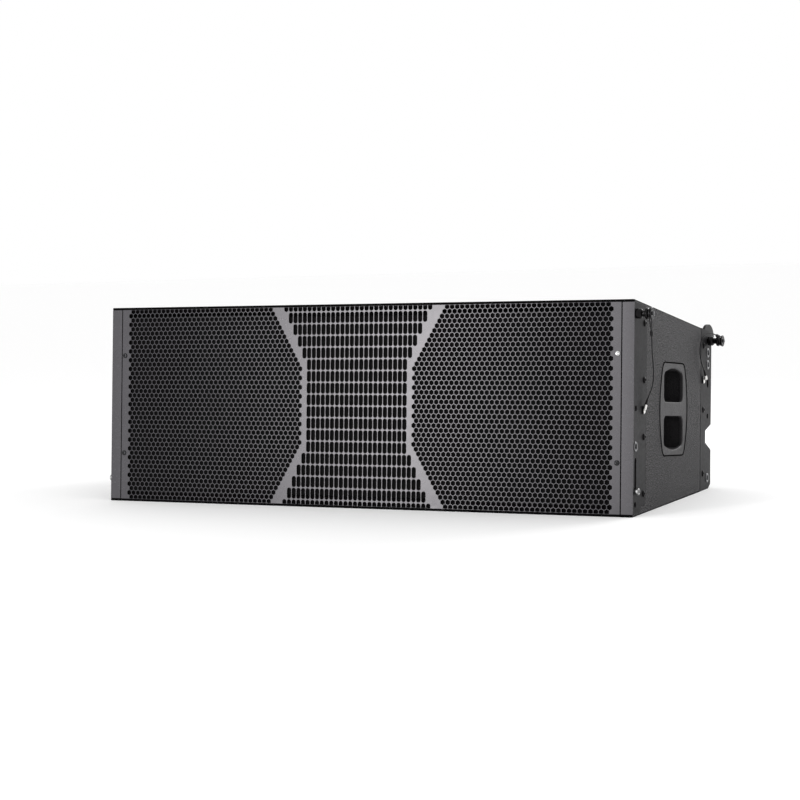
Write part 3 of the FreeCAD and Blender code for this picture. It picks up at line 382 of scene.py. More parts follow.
def painted(name, colour, roughness, mottle=30.0, grain=1400.0, depth=0.00004, shade=0.12,
            gloss=0.5, uneven=0.05):
    """Paint or powder coat: cloudy tone, fine orange peel, uneven gloss."""
    n = Nodes(name).set(Specular_IOR_Level=gloss, Specular_Tint=PAINT_TINT)
    tones = ((0.3, scaled(colour, 1 - shade)), (0.7, scaled(colour, 1 + shade)))
    n.colour(n.ramp(n.noise(mottle, 3.0), tones))
    n.roughness(n.spread(n.noise(mottle * 3.3, 3.0), roughness - uneven, roughness + uneven))
    n.bump(n.noise(grain, 2.0), depth)
    return n.material


def metal(name, colour, roughness):
    """Bare or plated metal with fine machining marks."""
    n = Nodes(name).set(Metallic=1.0)
    marks = n.noise(900.0, 3.0)
    n.colour(n.ramp(n.noise(120.0, 3.0), ((0.3, scaled(colour, 0.85)), (0.7, colour))))
    n.roughness(n.spread(marks, roughness - 0.07, roughness + 0.07))
    n.bump(marks, 0.00002)
    return n.material


def moulded(name, colour, roughness, grain=2600.0, depth=0.00005, shade=0.1, gloss=0.5):
    """Moulded plastic or pulp with a fine leathery grain."""
    n = Nodes(name).set(Specular_IOR_Level=gloss, Specular_Tint=PAINT_TINT)
    tones = ((0.3, scaled(colour, 1 - shade)), (0.7, scaled(colour, 1 + shade)))
    n.colour(n.ramp(n.noise(50.0, 3.0), tones))
    n.roughness(n.spread(n.noise(300.0, 2.0), roughness - 0.05, roughness + 0.05))
    n.bump(n.voronoi(grain), depth)
    return n.material


def cabinet_paint():
    """Black sprayed polyurea: pebbled grain with a dull sheen on the crests, partly from their
    lower roughness and partly painted lighter into the colour.
    """
    n = Nodes("cabinet_paint").set(Specular_IOR_Level=0.22, Specular_Tint=PAINT_TINT)
    pebbles = n.noise(380.0, 4.0, 0.62)
    drift = n.noise(9.0, 3.0)
    # The pebbles' crests are painted lighter: a painted sheen
    low = n.ramp(pebbles, ((0.42, (0.002, 0.002, 0.0021)), (0.60, (0.027, 0.0260, 0.0279))))
    high = n.ramp(pebbles, ((0.42, (0.004, 0.004, 0.0042)), (0.60, (0.038, 0.0366, 0.0391))))
    n.colour(n.mix(n.spread(drift, 0.0, 1.0), low, high))
    n.roughness(n.spread(pebbles, 0.75, 0.45, 0.4, 0.62))
    n.bump(n.maths("ADD", pebbles, n.maths("MULTIPLY", n.voronoi(900.0), 0.35)), 0.0028)
    return n.material


def raw_ply():
    """Birch plywood: long grain with darker streaks."""
    n = Nodes("raw_ply")
    grain = n.noise(26.0, 6.0, 0.6, stretch=(1.0, 5.0, 9.0))
    woods = ((0.3, (0.36, 0.23, 0.12)), (0.55, (0.56, 0.41, 0.25)), (0.75, (0.66, 0.51, 0.34)))
    n.colour(n.ramp(grain, woods))
    n.roughness(n.spread(grain, 0.55, 0.75))
    n.bump(n.noise(160.0, 4.0, stretch=(1.0, 6.0, 9.0)), 0.0002)
    return n.material


def open_foam():
    """Open-cell foam: dark pores in a slightly lighter skeleton."""
    n = Nodes("open_foam").set(Specular_IOR_Level=0.05)
    cells = n.voronoi(1100.0)
    n.colour(n.ramp(cells, ((0.1, (0.001, 0.001, 0.0011)), (0.6, (0.006, 0.006, 0.0063)))))
    n.roughness(n.spread(cells, 0.85, 0.95))
    n.bump(cells, 0.0008)
    return n.material


# Finishes as (colour, roughness, what differs from a plain coat of the kind)
PAINTED = {
    "grille_paint": ((0.033, 0.032, 0.036), 0.27, dict(
        grain=2600.0, depth=0.000001, shade=0.04, gloss=0.46, uneven=0.012)),
    # Near-black for the grille's hole walls and back face: painted shade inside the holes
    "hole_wall": ((0.010, 0.0098, 0.0103), 0.6, dict(gloss=0.15)),
    "rail_paint": ((0.012, 0.0116, 0.0125), 0.40, dict(mottle=60.0, shade=0.2, gloss=0.045)),
    # Near-black with almost no gloss: painted shade on the cabinet's rounded edges, front lip and
    # recess and seam walls
    "edge_black": ((0.003, 0.0029, 0.0031), 0.8, dict(mottle=60.0, shade=0.2, gloss=0.01)),
    # Near-black for the tapes in the sheet's joints, and for the handle beads, which are painted
    # shade in the seams
    "rubber": ((0.002, 0.002, 0.002), 0.85, dict(mottle=300.0, gloss=0.01)),
    "black_ply": ((0.006, 0.006, 0.006), 0.8, dict(
        mottle=60.0, grain=700.0, depth=0.0002, shade=0.3, gloss=0.03)),
    "black_steel": ((0.004, 0.004, 0.0042), 0.35, dict(mottle=200.0, gloss=0.06)),
    "link_steel": ((0.012, 0.0117, 0.0123), 0.40, dict(mottle=90.0, shade=0.2, gloss=0.09)),
    "pin_body": ((0.002, 0.002, 0.0021), 0.12, dict(mottle=200.0, gloss=0.14)),
    "wire_rope": ((0.004, 0.004, 0.0042), 0.38, dict(mottle=300.0, gloss=0.3)),
    "boot": ((0.003, 0.003, 0.003), 0.5, dict(mottle=200.0, gloss=0.2)),
    "basket": ((0.012, 0.012, 0.013), 0.4, dict(mottle=80.0)),
    "ferrite": ((0.03, 0.03, 0.032), 0.5, dict(mottle=150.0)),
    "board": ((0.02, 0.10, 0.04), 0.4, dict(mottle=90.0)),
    "plate": ((0.014, 0.014, 0.0145), 0.42, dict(mottle=60.0)),
}
METALS = {
    "bright_steel": ((0.60, 0.60, 0.60), 0.24, {}),
    "dark_zinc": ((0.035, 0.035, 0.037), 0.34, {}),
    "bush": ((0.11, 0.11, 0.115), 0.3, {}),
    "button": ((0.07, 0.07, 0.073), 0.2, {}),
    "knob": ((0.34, 0.34, 0.34), 0.3, {}),
    "crimp": ((0.80, 0.79, 0.77), 0.28, {}),
    "hf_case": ((0.34, 0.34, 0.35), 0.42, {}),
}
MOULDED = {
    "handle_plastic": ((0.014, 0.0136, 0.0144), 0.55, dict(
        grain=420.0, depth=0.0006, shade=0.3, gloss=0.34)),
    "paper": ((0.016, 0.015, 0.015), 0.8, dict(grain=500.0, depth=0.0004)),
    "surround": ((0.010, 0.010, 0.010), 0.6, dict(grain=900.0, depth=0.0002)),
    "horn": ((0.012, 0.012, 0.0125), 0.35, {}),
    "socket": ((0.012, 0.013, 0.020), 0.35, {}),
}


def make_materials():
    """Every finish by name."""
    made = {"cabinet": cabinet_paint(), "raw_ply": raw_ply(), "foam": open_foam()}
    for kind, coats in ((painted, PAINTED), (metal, METALS), (moulded, MOULDED)):
        for name, (colour, roughness, details) in coats.items():
            made[name] = kind(name, colour, roughness, **details)
    return made


make_camera()
make_stage()
FINISH = make_materials()


# ---------------------------------------------------------------- mesh helpers

def make(name, bm, finish, body="root", stands_for=(), sharp=35.0, flats=False):
    """Turn a bmesh in row-frame metres into a piece that rides on a body.

    flats keeps flat faces evenly shaded beside rounded edges.
    """
    mesh = bpy.data.meshes.new(name)
    bm.to_mesh(mesh)
    bm.free()
    mesh.materials.append(FINISH[finish])
    mesh.shade_smooth()
    mesh.set_sharp_from_angle(angle=math.radians(sharp))
    piece = bpy.data.objects.new(name, mesh)
    bpy.context.scene.collection.objects.link(piece)
    if flats:
        piece.modifiers.new("even_flats", "WEIGHTED_NORMAL").keep_sharp = True
    if body:
        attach(piece, body)
    if stands_for:
        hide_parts(*stands_for)
    return piece


def out_from_side(sign, y, z, out=0.0):
    """Matrix whose Z points out of a side of the box, at (y, z) in the box frame."""
    if sign > 0:
        turn = Matrix(((0, 0, 1), (1, 0, 0), (0, 1, 0)))
    else:
        turn = Matrix(((0, 0, -1), (0, 1, 0), (1, 0, 0)))
    return Matrix.Translation((sign * (HALF_WIDTH + out), y, z)) @ turn.to_4x4()


def along_y(forward, x, y, z):
    """Matrix whose Z points to the front (forward 1) or the back (-1) of the box."""
    if forward > 0:
        turn = Matrix(((1, 0, 0), (0, 0, -1), (0, 1, 0)))
    else:
        turn = Matrix(((-1, 0, 0), (0, 0, 1), (0, 1, 0)))
    return Matrix.Translation((x, y, z)) @ turn.to_4x4()


def lathe(bm, profile, place, steps, shape=None):
    """Add a turned form to bm.

    profile is (radius, height) points from the axis round to the axis.  shape, if given,
    returns a factor for the radius from the profile's index and the angle.
    """
    rings = []
    for i, (radius, height) in enumerate(profile):
        if radius < WELD:
            rings.append([bm.verts.new(place @ Vector((0, 0, height)))])
            continue
        ring = []
        for step in range(steps):
            a = math.tau * step / steps
            r = radius * (shape(i, a) if shape else 1.0)
            point = Vector((r * math.cos(a), r * math.sin(a), height))
            ring.append(bm.verts.new(place @ point))
        rings.append(ring)
    for low, high in zip(rings, rings[1:]):
        for k in range(steps):
            n = (k + 1) % steps
            corners = (low[k % len(low)], low[n % len(low)],
                       high[n % len(high)], high[k % len(high)])
            unique = list(dict.fromkeys(corners))
            if len(unique) > 2:
                bm.faces.new(unique)


def bored(bm, profile, place, steps):
    """Add a turned form with a hole through it: a profile that closes on itself."""
    rings = []
    for radius, height in profile[:-1]:
        rings.append([
            bm.verts.new(place @ Vector((radius * math.cos(a), radius * math.sin(a), height)))
            for a in (math.tau * k / steps for k in range(steps))
        ])
    for low, high in zip(rings, rings[1:] + rings[:1]):
        for k in range(steps):
            n = (k + 1) % steps
            bm.faces.new((low[k], low[n], high[n], high[k]))


def hexagonal(a):
    """Radius factor that turns a circle into a hexagon of the same corner radius."""
    part = (a % (math.pi / 3)) - math.pi / 6
    return math.cos(math.pi / 6) / math.cos(part)


def tube(bm, line, radius, sides, groove=0.0):
    """Add a round tube along a line; groove gives its surface the twist of a rope."""
    tangents = [(b - a).normalized() for a, b in zip(line, line[1:])]
    tangents.append(tangents[-1])
    normal = tangents[0].orthogonal().normalized()
    rings = []
    travelled = 0.0
    for i, (point, way) in enumerate(zip(line, tangents)):
        normal = (normal - way * normal.dot(way)).normalized()
        across = way.cross(normal)
        if i:
            travelled += (point - line[i - 1]).length
        ring = []
        for k in range(sides):
            a = math.tau * k / sides
            r = radius
            if groove:
                twist = STRANDS * a - math.tau * travelled / ROPE_LAY
                r *= 1 - groove * (0.5 - 0.5 * math.cos(twist))
            ring.append(bm.verts.new(point + (normal * math.cos(a) + across * math.sin(a)) * r))
        rings.append(ring)
    for low, high in zip(rings, rings[1:]):
        for k in range(sides):
            n = (k + 1) % sides
            bm.faces.new((low[k], low[n], high[n], high[k]))
    bm.faces.new(list(reversed(rings[0])))
    bm.faces.new(rings[-1])


def welded(node):
    """Bmesh of a CAD node with its seams welded and its flat faces whole."""
    bm = bmesh.new()
    bm.from_mesh(frame["nodes"][node].data)
    bmesh.ops.remove_doubles(bm, verts=bm.verts, dist=WELD)
    bmesh.ops.dissolve_limit(bm, angle_limit=math.radians(0.5), verts=bm.verts, edges=bm.edges)
    return bm


def round_edges(bm, width, segments=2, angle=35.0, chosen=None):
    """Bevel the sharp outer edges, or those that chosen(edge) picks."""
    edges = [
        e for e in bm.edges
        if len(e.link_faces) == 2 and e.is_convex
        and e.calc_face_angle() > math.radians(angle) and (chosen is None or chosen(e))
    ]
    bmesh.ops.bevel(
        bm, geom=edges, offset=width, segments=segments, profile=0.5, affect="EDGES",
        clamp_overlap=True,
    )


def islands(node):
    """The separate solids of a CAD node as (lowest, highest) corners in the box frame.

    They come in the order of their first vertex, which is the same in each run.
    """
    bm = welded(node)
    to_box = BOX.inverted()
    waiting = dict.fromkeys(bm.verts)
    found = []
    while waiting:
        reached = [next(iter(waiting))]
        del waiting[reached[0]]
        group = list(reached)
        while reached:
            vert = reached.pop()
            for link in vert.link_edges:
                other = link.other_vert(vert)
                if other in waiting:
                    del waiting[other]
                    reached.append(other)
                    group.append(other)
        places = [to_box @ v.co for v in group]
        low = Vector([min(p[i] for p in places) for i in range(3)])
        high = Vector([max(p[i] for p in places) for i in range(3)])
        found.append((low, high))
    bm.free()
    return found


def finished(node, finish, width, body="root"):
    """A copy of a CAD node with its edges rounded, which stands for it."""
    bm = welded(node)
    round_edges(bm, width)
    return make(node + "_finished", bm, finish, body, (node,), flats=True)


# ---------------------------------------------------------------- lanyards

def spline_line(points):
    """Points along the smooth line that has these control points."""
    data = bpy.data.curves.new("route", "CURVE")
    data.dimensions = "3D"
    spline = data.splines.new("NURBS")
    spline.points.add(len(points) - 1)
    for knot, point in zip(spline.points, points):
        knot.co = (*point, 1.0)
    spline.order_u = 3
    spline.use_endpoint_u = True
    spline.resolution_u = 14
    holder = bpy.data.objects.new("route", data)
    mesh = bpy.data.meshes.new_from_object(holder)
    line = [v.co.copy() for v in mesh.vertices]
    bpy.data.objects.remove(holder)
    bpy.data.curves.remove(data)
    bpy.data.meshes.remove(mesh)
    return line


def pin_centre(side, end):
    """Middle of a pin in the box frame."""
    low, high = size_in_box(f"{side}_{end}_pin")
    return (low + high) / 2


def eye_piece(side, end, tip, way):
    """Crimped ferrule and the wire loop round the pin's groove."""
    sign = SIDES[side]
    radius, length = FERRULE
    centre = pin_centre(side, end)
    centre.x = sign * (HALF_WIDTH + EYE_OUT)
    to_box = BOX.inverted()
    start = to_box @ tip
    way = (to_box.to_3x3() @ way).normalized()
    root = start + way * (length - NECK_SUNK)
    neck = Vector((centre.x, root.y, root.z))
    gap = neck - centre
    reach = gap.length
    gap.normalize()
    across = Vector((0, gap.z, -gap.y))
    spread = math.acos(EYE_R / reach)
    arc = []
    for step in range(EYE_STEPS + 1):
        a = spread + (math.tau - 2 * spread) * step / EYE_STEPS
        arc.append(centre + (gap * math.cos(a) + across * math.sin(a)) * EYE_R)
    shares = [k / NECK_STEPS for k in range(1, NECK_STEPS)]
    line = [neck] + [neck.lerp(arc[0], share) for share in shares] + arc
    line += [arc[-1].lerp(neck, share) for share in shares]
    bm = bmesh.new()
    tube(bm, [BOX @ p for p in line], WIRE_R, 10, groove=0.12)
    place = BOX @ Matrix.Translation(start) @ way.to_track_quat("Z", "Y").to_matrix().to_4x4()
    end_r, waist_r = radius * FERRULE_END, radius * FERRULE_WAIST
    profile = [(0, 0), (end_r, 0), (radius, 0.0008)]
    for band in range(FERRULE_BANDS):
        z = 0.0014 + band * (length - 0.0028) / FERRULE_BANDS
        profile += [(radius, z), (waist_r, z + 0.0003), (waist_r, z + 0.0010), (radius, z + 0.0013)]
    profile += [(radius, length - 0.0008), (end_r, length), (0, length)]
    lathe(bm, profile, place, 24)
    name = f"{side}_{end}_lanyard_eye"
    return make(name + "_finished", bm, "wire_rope", f"{side}_{end}_pin", (name,))


def boot_piece(side, end, line):
    """Black sleeve over the lanyard where it leaves its anchor."""
    count = max(4, len(line) // BOOT_SHARE)
    stretch = line[:count]
    bm = bmesh.new()
    tube(bm, stretch, WIRE_R * BOOT_WIDTH, 16)
    for vert in bm.verts:
        nearest = min(range(count), key=lambda i: (stretch[i] - vert.co).length)
        taper = 1.0 - BOOT_TAPER * nearest / (count - 1)
        vert.co = stretch[nearest] + (vert.co - stretch[nearest]) * taper
    return make(f"{side}_{end}_lanyard_boot", bm, "boot")


def make_lanyards():
    """Each rope runs from its anchor on the cabinet to its eye round the pin."""
    for (side, end), (route, length) in LANYARDS.items():
        sign = SIDES[side]
        line = spline_line([
            BOX @ Vector((sign * (HALF_WIDTH + out), y, z)) for out, y, z in ROUTES[route]
        ])
        bm = bmesh.new()
        tube(bm, line, WIRE_R, 12, groove=0.10)
        name = f"{side}_{end}_lanyard"
        piece = make(name + "_finished", bm, "wire_rope", body=None, stands_for=(name,))
        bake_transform(piece)
        eye = eye_piece(side, end, line[-1], (line[-1] - line[-2]).normalized())
        boot = boot_piece(side, end, line)


make_lanyards()


# ---------------------------------------------------------------- grille

def wing_holes():
    """Centres of the hexagonal holes of the right wing, as (x, z)."""
    holes = []
    for row in range(-HEX_ROWS, HEX_ROWS + 1):
        beyond = abs(row) - WAIST_ROWS
        if beyond > 0:
            first = WING_START + beyond * HEX_PITCH / 2
        else:
            first = WING_START + (row % 2) * HEX_PITCH / 2
        count = math.floor((WING_END - first) / HEX_PITCH + 0.01) + 1
        z = row * HEX_PITCH * math.sqrt(3) / 2
        holes += [(first + i * HEX_PITCH, z) for i in range(count)]
    return holes


def hexagon(flats):
    """Corners of a hexagon that stands on a corner."""
    r = flats / math.sqrt(3)
    return [(r * math.sin(math.tau * k / 6), r * math.cos(math.tau * k / 6)) for k in range(6)]


def slot_outlines():
    """An upright slot with rounded corners and the rectangle round it, point for point."""
    inner = [size / 2 - SLOT_CORNER for size in SLOT_SIZE]
    slot, cell = [], []
    steps = SLOT_CORNER_STEPS
    for signs, backward in (((1, 1), False), ((-1, 1), True), ((-1, -1), False), ((1, -1), True)):
        for step in range(steps + 1):
            a = math.pi / 2 * (steps - step if backward else step) / steps
            ways = math.cos(a), math.sin(a)
            squared = [min(1.0, way * math.sqrt(2)) for way in ways]
            slot.append([s * (base + SLOT_CORNER * way)
                         for s, base, way in zip(signs, inner, ways)])
            cell.append([s * (base + (pitch / 2 - base) * way)
                         for s, base, pitch, way in zip(signs, inner, SLOT_PITCH, squared)])
    return slot, cell


def extruded(bm):
    """Double every face of a flat sheet; returns the vertices of the new side."""
    made = bmesh.ops.extrude_face_region(bm, geom=list(bm.faces), use_keep_orig=True)["geom"]
    return [v for v in made if isinstance(v, bmesh.types.BMVert)]


def make_grille():
    """One perforated sheet: hexagonal holes in both wings, upright slots in the middle."""
    low, high = size_in_box("front_grille")
    bm = bmesh.new()
    rims = set()

    def metal_round(x, z, hole, cell):
        """Add the metal round one hole, kept inside the sheet's upper and lower edges."""
        loops = []
        for outline, margin in ((hole, HOLE_MARGIN), (cell, CELL_MARGIN)):
            limit = high.z - margin
            points = [(x + dx, 0, max(-limit, min(limit, z + dz))) for dx, dz in outline]
            loops.append([bm.verts.new(point) for point in points])
        inner, outer = loops
        rims.update(inner)
        for k in range(len(hole)):
            n = (k + 1) % len(hole)
            bm.faces.new((inner[k], inner[n], outer[n], outer[k]))

    hole, cell = hexagon(HEX_FLATS), hexagon(HEX_PITCH)
    for x, z in wing_holes():
        metal_round(x, z, hole, cell)
        metal_round(-x, z, hole, cell)
    slot, slot_cell = slot_outlines()
    for row, count in enumerate(SLOTS_IN_ROW):
        for i in range(count):
            x = (i - (count - 1) / 2) * SLOT_PITCH[0]
            z = (row + 0.5) * SLOT_PITCH[1]
            metal_round(x, z, slot, slot_cell)
            metal_round(x, -z, slot, slot_cell)
    cells = [v for v in bm.verts if v not in rims]
    bmesh.ops.remove_doubles(bm, verts=cells, dist=CELL_WELD)
    edges = [e for e in bm.edges if len(e.link_faces) == 1 and not rims.issuperset(e.verts)]

    def loop(points):
        corners = [bm.verts.new((x, 0, z)) for x, z in points]
        return [bm.edges.new(pair) for pair in zip(corners, corners[1:] + corners[:1])]

    edges += loop(((low.x, low.z), (high.x, low.z), (high.x, high.z), (low.x, high.z)))
    turn = [math.tau * k / SCREW_HOLE_STEPS for k in range(SCREW_HOLE_STEPS)]
    for x, z in GRILLE_SCREWS:
        edges += loop([
            (x + SCREW_HOLE_R * math.cos(a), z + SCREW_HOLE_R * math.sin(a)) for a in turn
        ])
    bmesh.ops.triangle_fill(
        bm, edges=edges, use_beauty=True, use_dissolve=False, normal=(0, -1, 0),
    )
    bmesh.ops.recalc_face_normals(bm, faces=bm.faces)
    if sum(f.normal.y for f in bm.faces) > 0:
        bmesh.ops.reverse_faces(bm, faces=bm.faces)
    back = extruded(bm)
    bmesh.ops.translate(bm, verts=back, vec=(0, SHEET_THICK, 0))
    bmesh.ops.recalc_face_normals(bm, faces=bm.faces)
    # The front face keeps the grille paint; hole walls and back get painted shade
    for face in bm.faces:
        face.material_index = 0 if face.normal.y < -0.5 else 1
    bm.transform(BOX)
    sheet = make("front_grille_sheet", bm, "grille_paint", stands_for=("front_grille",),
                 sharp=30.0)
    sheet.data.materials.append(FINISH["hole_wall"])


make_grille()


def make_foam():
    """Open-cell foam behind the grille, its face slightly uneven."""
    low, high = size_in_box("grille_foam")
    middle = (low + high) / 2
    half = (high - low) / 2
    bm = bmesh.new()
    bmesh.ops.create_grid(bm, x_segments=FOAM_GRID[0], y_segments=FOAM_GRID[1], size=1.0)
    for v in bm.verts:
        v.co = Vector((middle.x + v.co.x * half.x, low.y, middle.z + v.co.y * half.z))
    back = set(extruded(bm))
    for v in back:
        v.co.y = high.y
    for v in bm.verts:
        if v not in back:
            v.co.y += FOAM_UNEVEN * (1 + noise.noise(v.co * FOAM_WAVE))
    bmesh.ops.recalc_face_normals(bm, faces=bm.faces)
    bm.transform(BOX)
    piece = make("grille_foam_sheet", bm, "foam", stands_for=("grille_foam",))


make_foam()


# ---------------------------------------------------------------- cabinet

def outer_planes(point):
    """Which of the box's outer planes a point lies on, in the box frame."""
    planes = set()
    if abs(abs(point.x) - HALF_WIDTH) < NEAR:
        planes.add("side")
    if abs(abs(point.z) - (HALF_HEIGHT - SLOPE * point.y)) < NEAR:
        planes.add("top")
    if point.y < NEAR:
        planes.add("front")
    if point.y > DEPTH - NEAR:
        planes.add("back")
    return planes


def outer_edge(edge):
    """True for the long edges of the whole box."""
    to_box = BOX.inverted()
    a, b = (outer_planes(to_box @ v.co) for v in edge.verts)
    return len(a & b) > 1 and edge.calc_length() > LONG_EDGE


def gets_painted_shade(face):
    """True for the front lip and for the walls seen in the recess and in seams, which get painted
    shade.
    """
    middle = BOX.inverted() @ face.calc_center_median()
    planes = outer_planes(middle)
    if planes:
        return planes == {"front"}
    return middle.y < RECESS_DEPTH or abs(middle.x) > HALF_WIDTH - WALL_SEEN


def make_cabinet():
    """The five outer panels, with their rounded edges, front lip and joint walls in near-black
    painted shade.
    """
    for node in ("top_panel", "bottom_panel", "left_side_panel", "right_side_panel", "back_panel"):
        bm = welded(node)
        edges = [e for e in bm.edges if len(e.link_faces) == 2 and e.is_convex and outer_edge(e)]
        rounded = bmesh.ops.bevel(
            bm, geom=edges, offset=CABINET_ROUND, segments=4, profile=0.5, affect="EDGES",
            clamp_overlap=False,
        )["faces"]
        # Rounded edges, lip and the recess and seam walls get painted shade in place of the cabinet
        # paint
        dark = set(rounded) | {f for f in bm.faces if gets_painted_shade(f)}
        for face in bm.faces:
            face.material_index = int(face in dark)
        piece = make(node + "_finished", bm, "cabinet", stands_for=(node,), sharp=32.0, flats=True)
        piece.data.materials.append(FINISH["edge_black"])


make_cabinet()


# ---------------------------------------------------------------- steelwork

def make_steelwork():
    """Rails, guides, links and trims, and the anchors' bright crimps on dark plates."""
    for side in SIDES:
        finished(f"{side}_front_rail", "rail_paint", 0.0006)
        finished(f"{side}_rear_rail", "rail_paint", 0.0006)
        finished(f"{side}_rear_guide", "rail_paint", 0.0006)
        finished(f"{side}_front_link", "link_steel", 0.0006, body=f"{side}_front_link")
        finished(f"{side}_rear_link", "link_steel", 0.0008, body=f"{side}_rear_link")
    finished("front_trims", "grille_paint", 0.0003)
    anchors = finished("lanyard_anchors", "crimp", 0.0003)
    anchors.data.materials.append(FINISH["dark_zinc"])
    for polygon in anchors.data.polygons:
        polygon.material_index = int(abs(polygon.center.x) < HALF_WIDTH + ANCHOR_PLATE_TOP)


make_steelwork()


# ---------------------------------------------------------------- handles, painted shade in their seams, joint tapes

def is_rim(edge):
    """True for the finger openings' edges on a handle's outer face."""
    to_box = BOX.inverted()
    ends = [to_box @ v.co for v in edge.verts]
    return all(
        abs(abs(p.x) - HALF_WIDTH) < NEAR and abs(p.y - HANDLE_Y) < HANDLE_OPENING[0]
        and HANDLE_OPENING[1] < abs(p.z) < HANDLE_OPENING[2] for p in ends
    )


def arc_through(a, b, c, steps):
    """Points on the circle through three (y, z) points, from a up to but not at c."""
    (ax, ay), (bx, by), (cx, cy) = a, b, c
    d = 2 * (ax * (by - cy) + bx * (cy - ay) + cx * (ay - by))
    aa, bb, cc = (x * x + y * y for x, y in (a, b, c))
    ox = (aa * (by - cy) + bb * (cy - ay) + cc * (ay - by)) / d
    oy = (aa * (cx - bx) + bb * (ax - cx) + cc * (bx - ax)) / d
    r = math.hypot(ax - ox, ay - oy)
    start, end = (math.atan2(y - oy, x - ox) for x, y in (a, c))
    turn = (end - start) % math.tau
    if turn > math.pi:
        turn -= math.tau
    angles = [start + turn * k / steps for k in range(steps)]
    return [(ox + r * math.cos(angle), oy + r * math.sin(angle)) for angle in angles]


def handle_seam():
    """The middle of the seam round the barrel-shaped handle plate, as (y, z) points."""
    wide = HANDLE_HALF_WIDTH + SEAM_MIDDLE
    cy, cz = (size + SEAM_MIDDLE * k for size, k in zip(HANDLE_CORNER, (1, 0)))
    ty, tz = (size + SEAM_MIDDLE * k for size, k in zip(HANDLE_TOP, (0.6, 1)))
    my, mz = (cy + ty) / 2 + SEAM_BULGE, (cz + tz) / 2 + SEAM_BULGE
    points = []
    for s in (1, -1):
        points += arc_through((s * cy, -s * cz), (s * wide, 0), (s * cy, s * cz), 24)
        points += arc_through((s * cy, s * cz), (s * my, s * mz), (s * ty, s * tz), 8)
        points.append((s * ty, s * tz))
        points += arc_through((-s * ty, s * tz), (-s * my, s * mz), (-s * cy, s * cz), 8)
    return points


def make_beads():
    """Black bead in the seam round each handle plate: a line of painted shade along the seam."""
    seam = handle_seam()
    for side, sign in SIDES.items():
        x = sign * (HALF_WIDTH - BEAD_SUNK)
        line = [BOX @ Vector((x, HANDLE_Y + y, z)) for y, z in seam + seam[:2]]
        bm = bmesh.new()
        tube(bm, line, BEAD_R, 10)
        make(f"{side}_handle_bead", bm, "rubber")


def make_sheet_tapes():
    """Black tape standing in the joint between the perforated sheet and each side trim."""
    edge = size_in_box("front_grille")[1]
    size = Matrix.Diagonal((*JOINT_TAPE, 2 * edge.z, 1))
    bm = bmesh.new()
    for sign in SIDES.values():
        middle = Matrix.Translation((sign * edge.x, JOINT_TAPE_Y, 0))
        bmesh.ops.create_cube(bm, size=1.0, matrix=BOX @ middle @ size)
    make("front_joint_tapes", bm, "rubber")


def make_handles():
    """Handle plates with well rounded finger openings."""
    for side in SIDES:
        node = f"{side}_handle"
        bm = welded(node)
        round_edges(bm, HANDLE_RIM, 5, chosen=is_rim)
        bmesh.ops.dissolve_degenerate(bm, edges=bm.edges, dist=WELD)
        round_edges(bm, 0.0006, 2, angle=60.0)
        make(node + "_finished", bm, "handle_plastic", stands_for=(node,), sharp=30.0,
             flats=True)


make_handles()
make_beads()
make_sheet_tapes()


# ---------------------------------------------------------------- fasteners

MM = 0.001


def profile_mm(points):
    """(radius, height) points given in millimetres, in metres."""
    return [(r * MM, h * MM) for r, h in points]


# Turned profiles.  The ranges pick the points of a profile that form its socket, cross or grip.
BOLT = profile_mm((
    (0, -19.5), (2.6, -19.5), (3.0, -19.0), (3.0, 0.0), (5.8, 0.0), (6.0, 0.2), (6.0, 0.7),
    (5.6, 1.4), (4.9, 2.0), (4.0, 2.4), (3.0, 2.6), (2.5, 2.6), (2.3, 2.4), (2.25, 0.9), (0, 0.5),
))
BOLT_TOP = max(h for r, h in BOLT)
BOLT_SOCKET = range(12, 14)
SCREW_HEAD = profile_mm((
    (2.0, 0.0), (3.8, 0.0), (3.9, 0.2), (3.85, 0.9), (3.5, 1.5), (3.0, 1.9), (2.3, 2.15),
    (2.1, 2.2), (1.5, 1.2), (0.5, 0.6), (0, 0.5),
))
SCREW_TOP = max(h for r, h in SCREW_HEAD)
SCREW_TIP = profile_mm(((0, 0), (1.6, 1.4), (2.0, 3.0)))
CROSS = range(7, 9)
CROSS_HALF_WIDTH = 0.30
WIDE_HEAD = 1.22
NEAR_FACE = 0.002
BUSH = profile_mm((
    (5.05, -3.8), (6.4, -3.8), (6.5, -3.6), (6.5, 0.0), (8.9, 0.0), (9.0, 0.1), (9.0, 0.6),
    (8.7, 0.95), (8.2, 1.2), (6.1, 1.2), (5.6, 1.0), (5.15, 0.5), (5.05, 0.3), (5.05, -3.8),
))
BUSH_TOP = max(h for r, h in BUSH)
BUSH_TAIL = -0.002


def crosswise(a):
    """Radius factor that turns a circle into a cross."""
    b = (a + math.pi / 4) % (math.pi / 2) - math.pi / 4
    return min(1.0 / math.cos(b), CROSS_HALF_WIDTH / max(abs(math.sin(b)), 1e-6))


def turned_at_random():
    """Turn about the axis, as a driver leaves a fastener."""
    return Matrix.Rotation(random.uniform(0, math.tau), 4, "Z")


def make_bolts():
    """Socket-head bolts of the rails."""
    bm = bmesh.new()
    for low, high in islands("rail_bolts"):
        sign = 1 if high.x > 0 else -1
        head = max(abs(low.x), abs(high.x)) - HALF_WIDTH - BOLT_TOP
        place = out_from_side(sign, (low.y + high.y) / 2, (low.z + high.z) / 2, head)
        lathe(bm, BOLT, BOX @ place @ turned_at_random(), 48,
              lambda i, a: hexagonal(a) if i in BOLT_SOCKET else 1.0)
    make("rail_bolts_finished", bm, "black_steel", stands_for=("rail_bolts",))


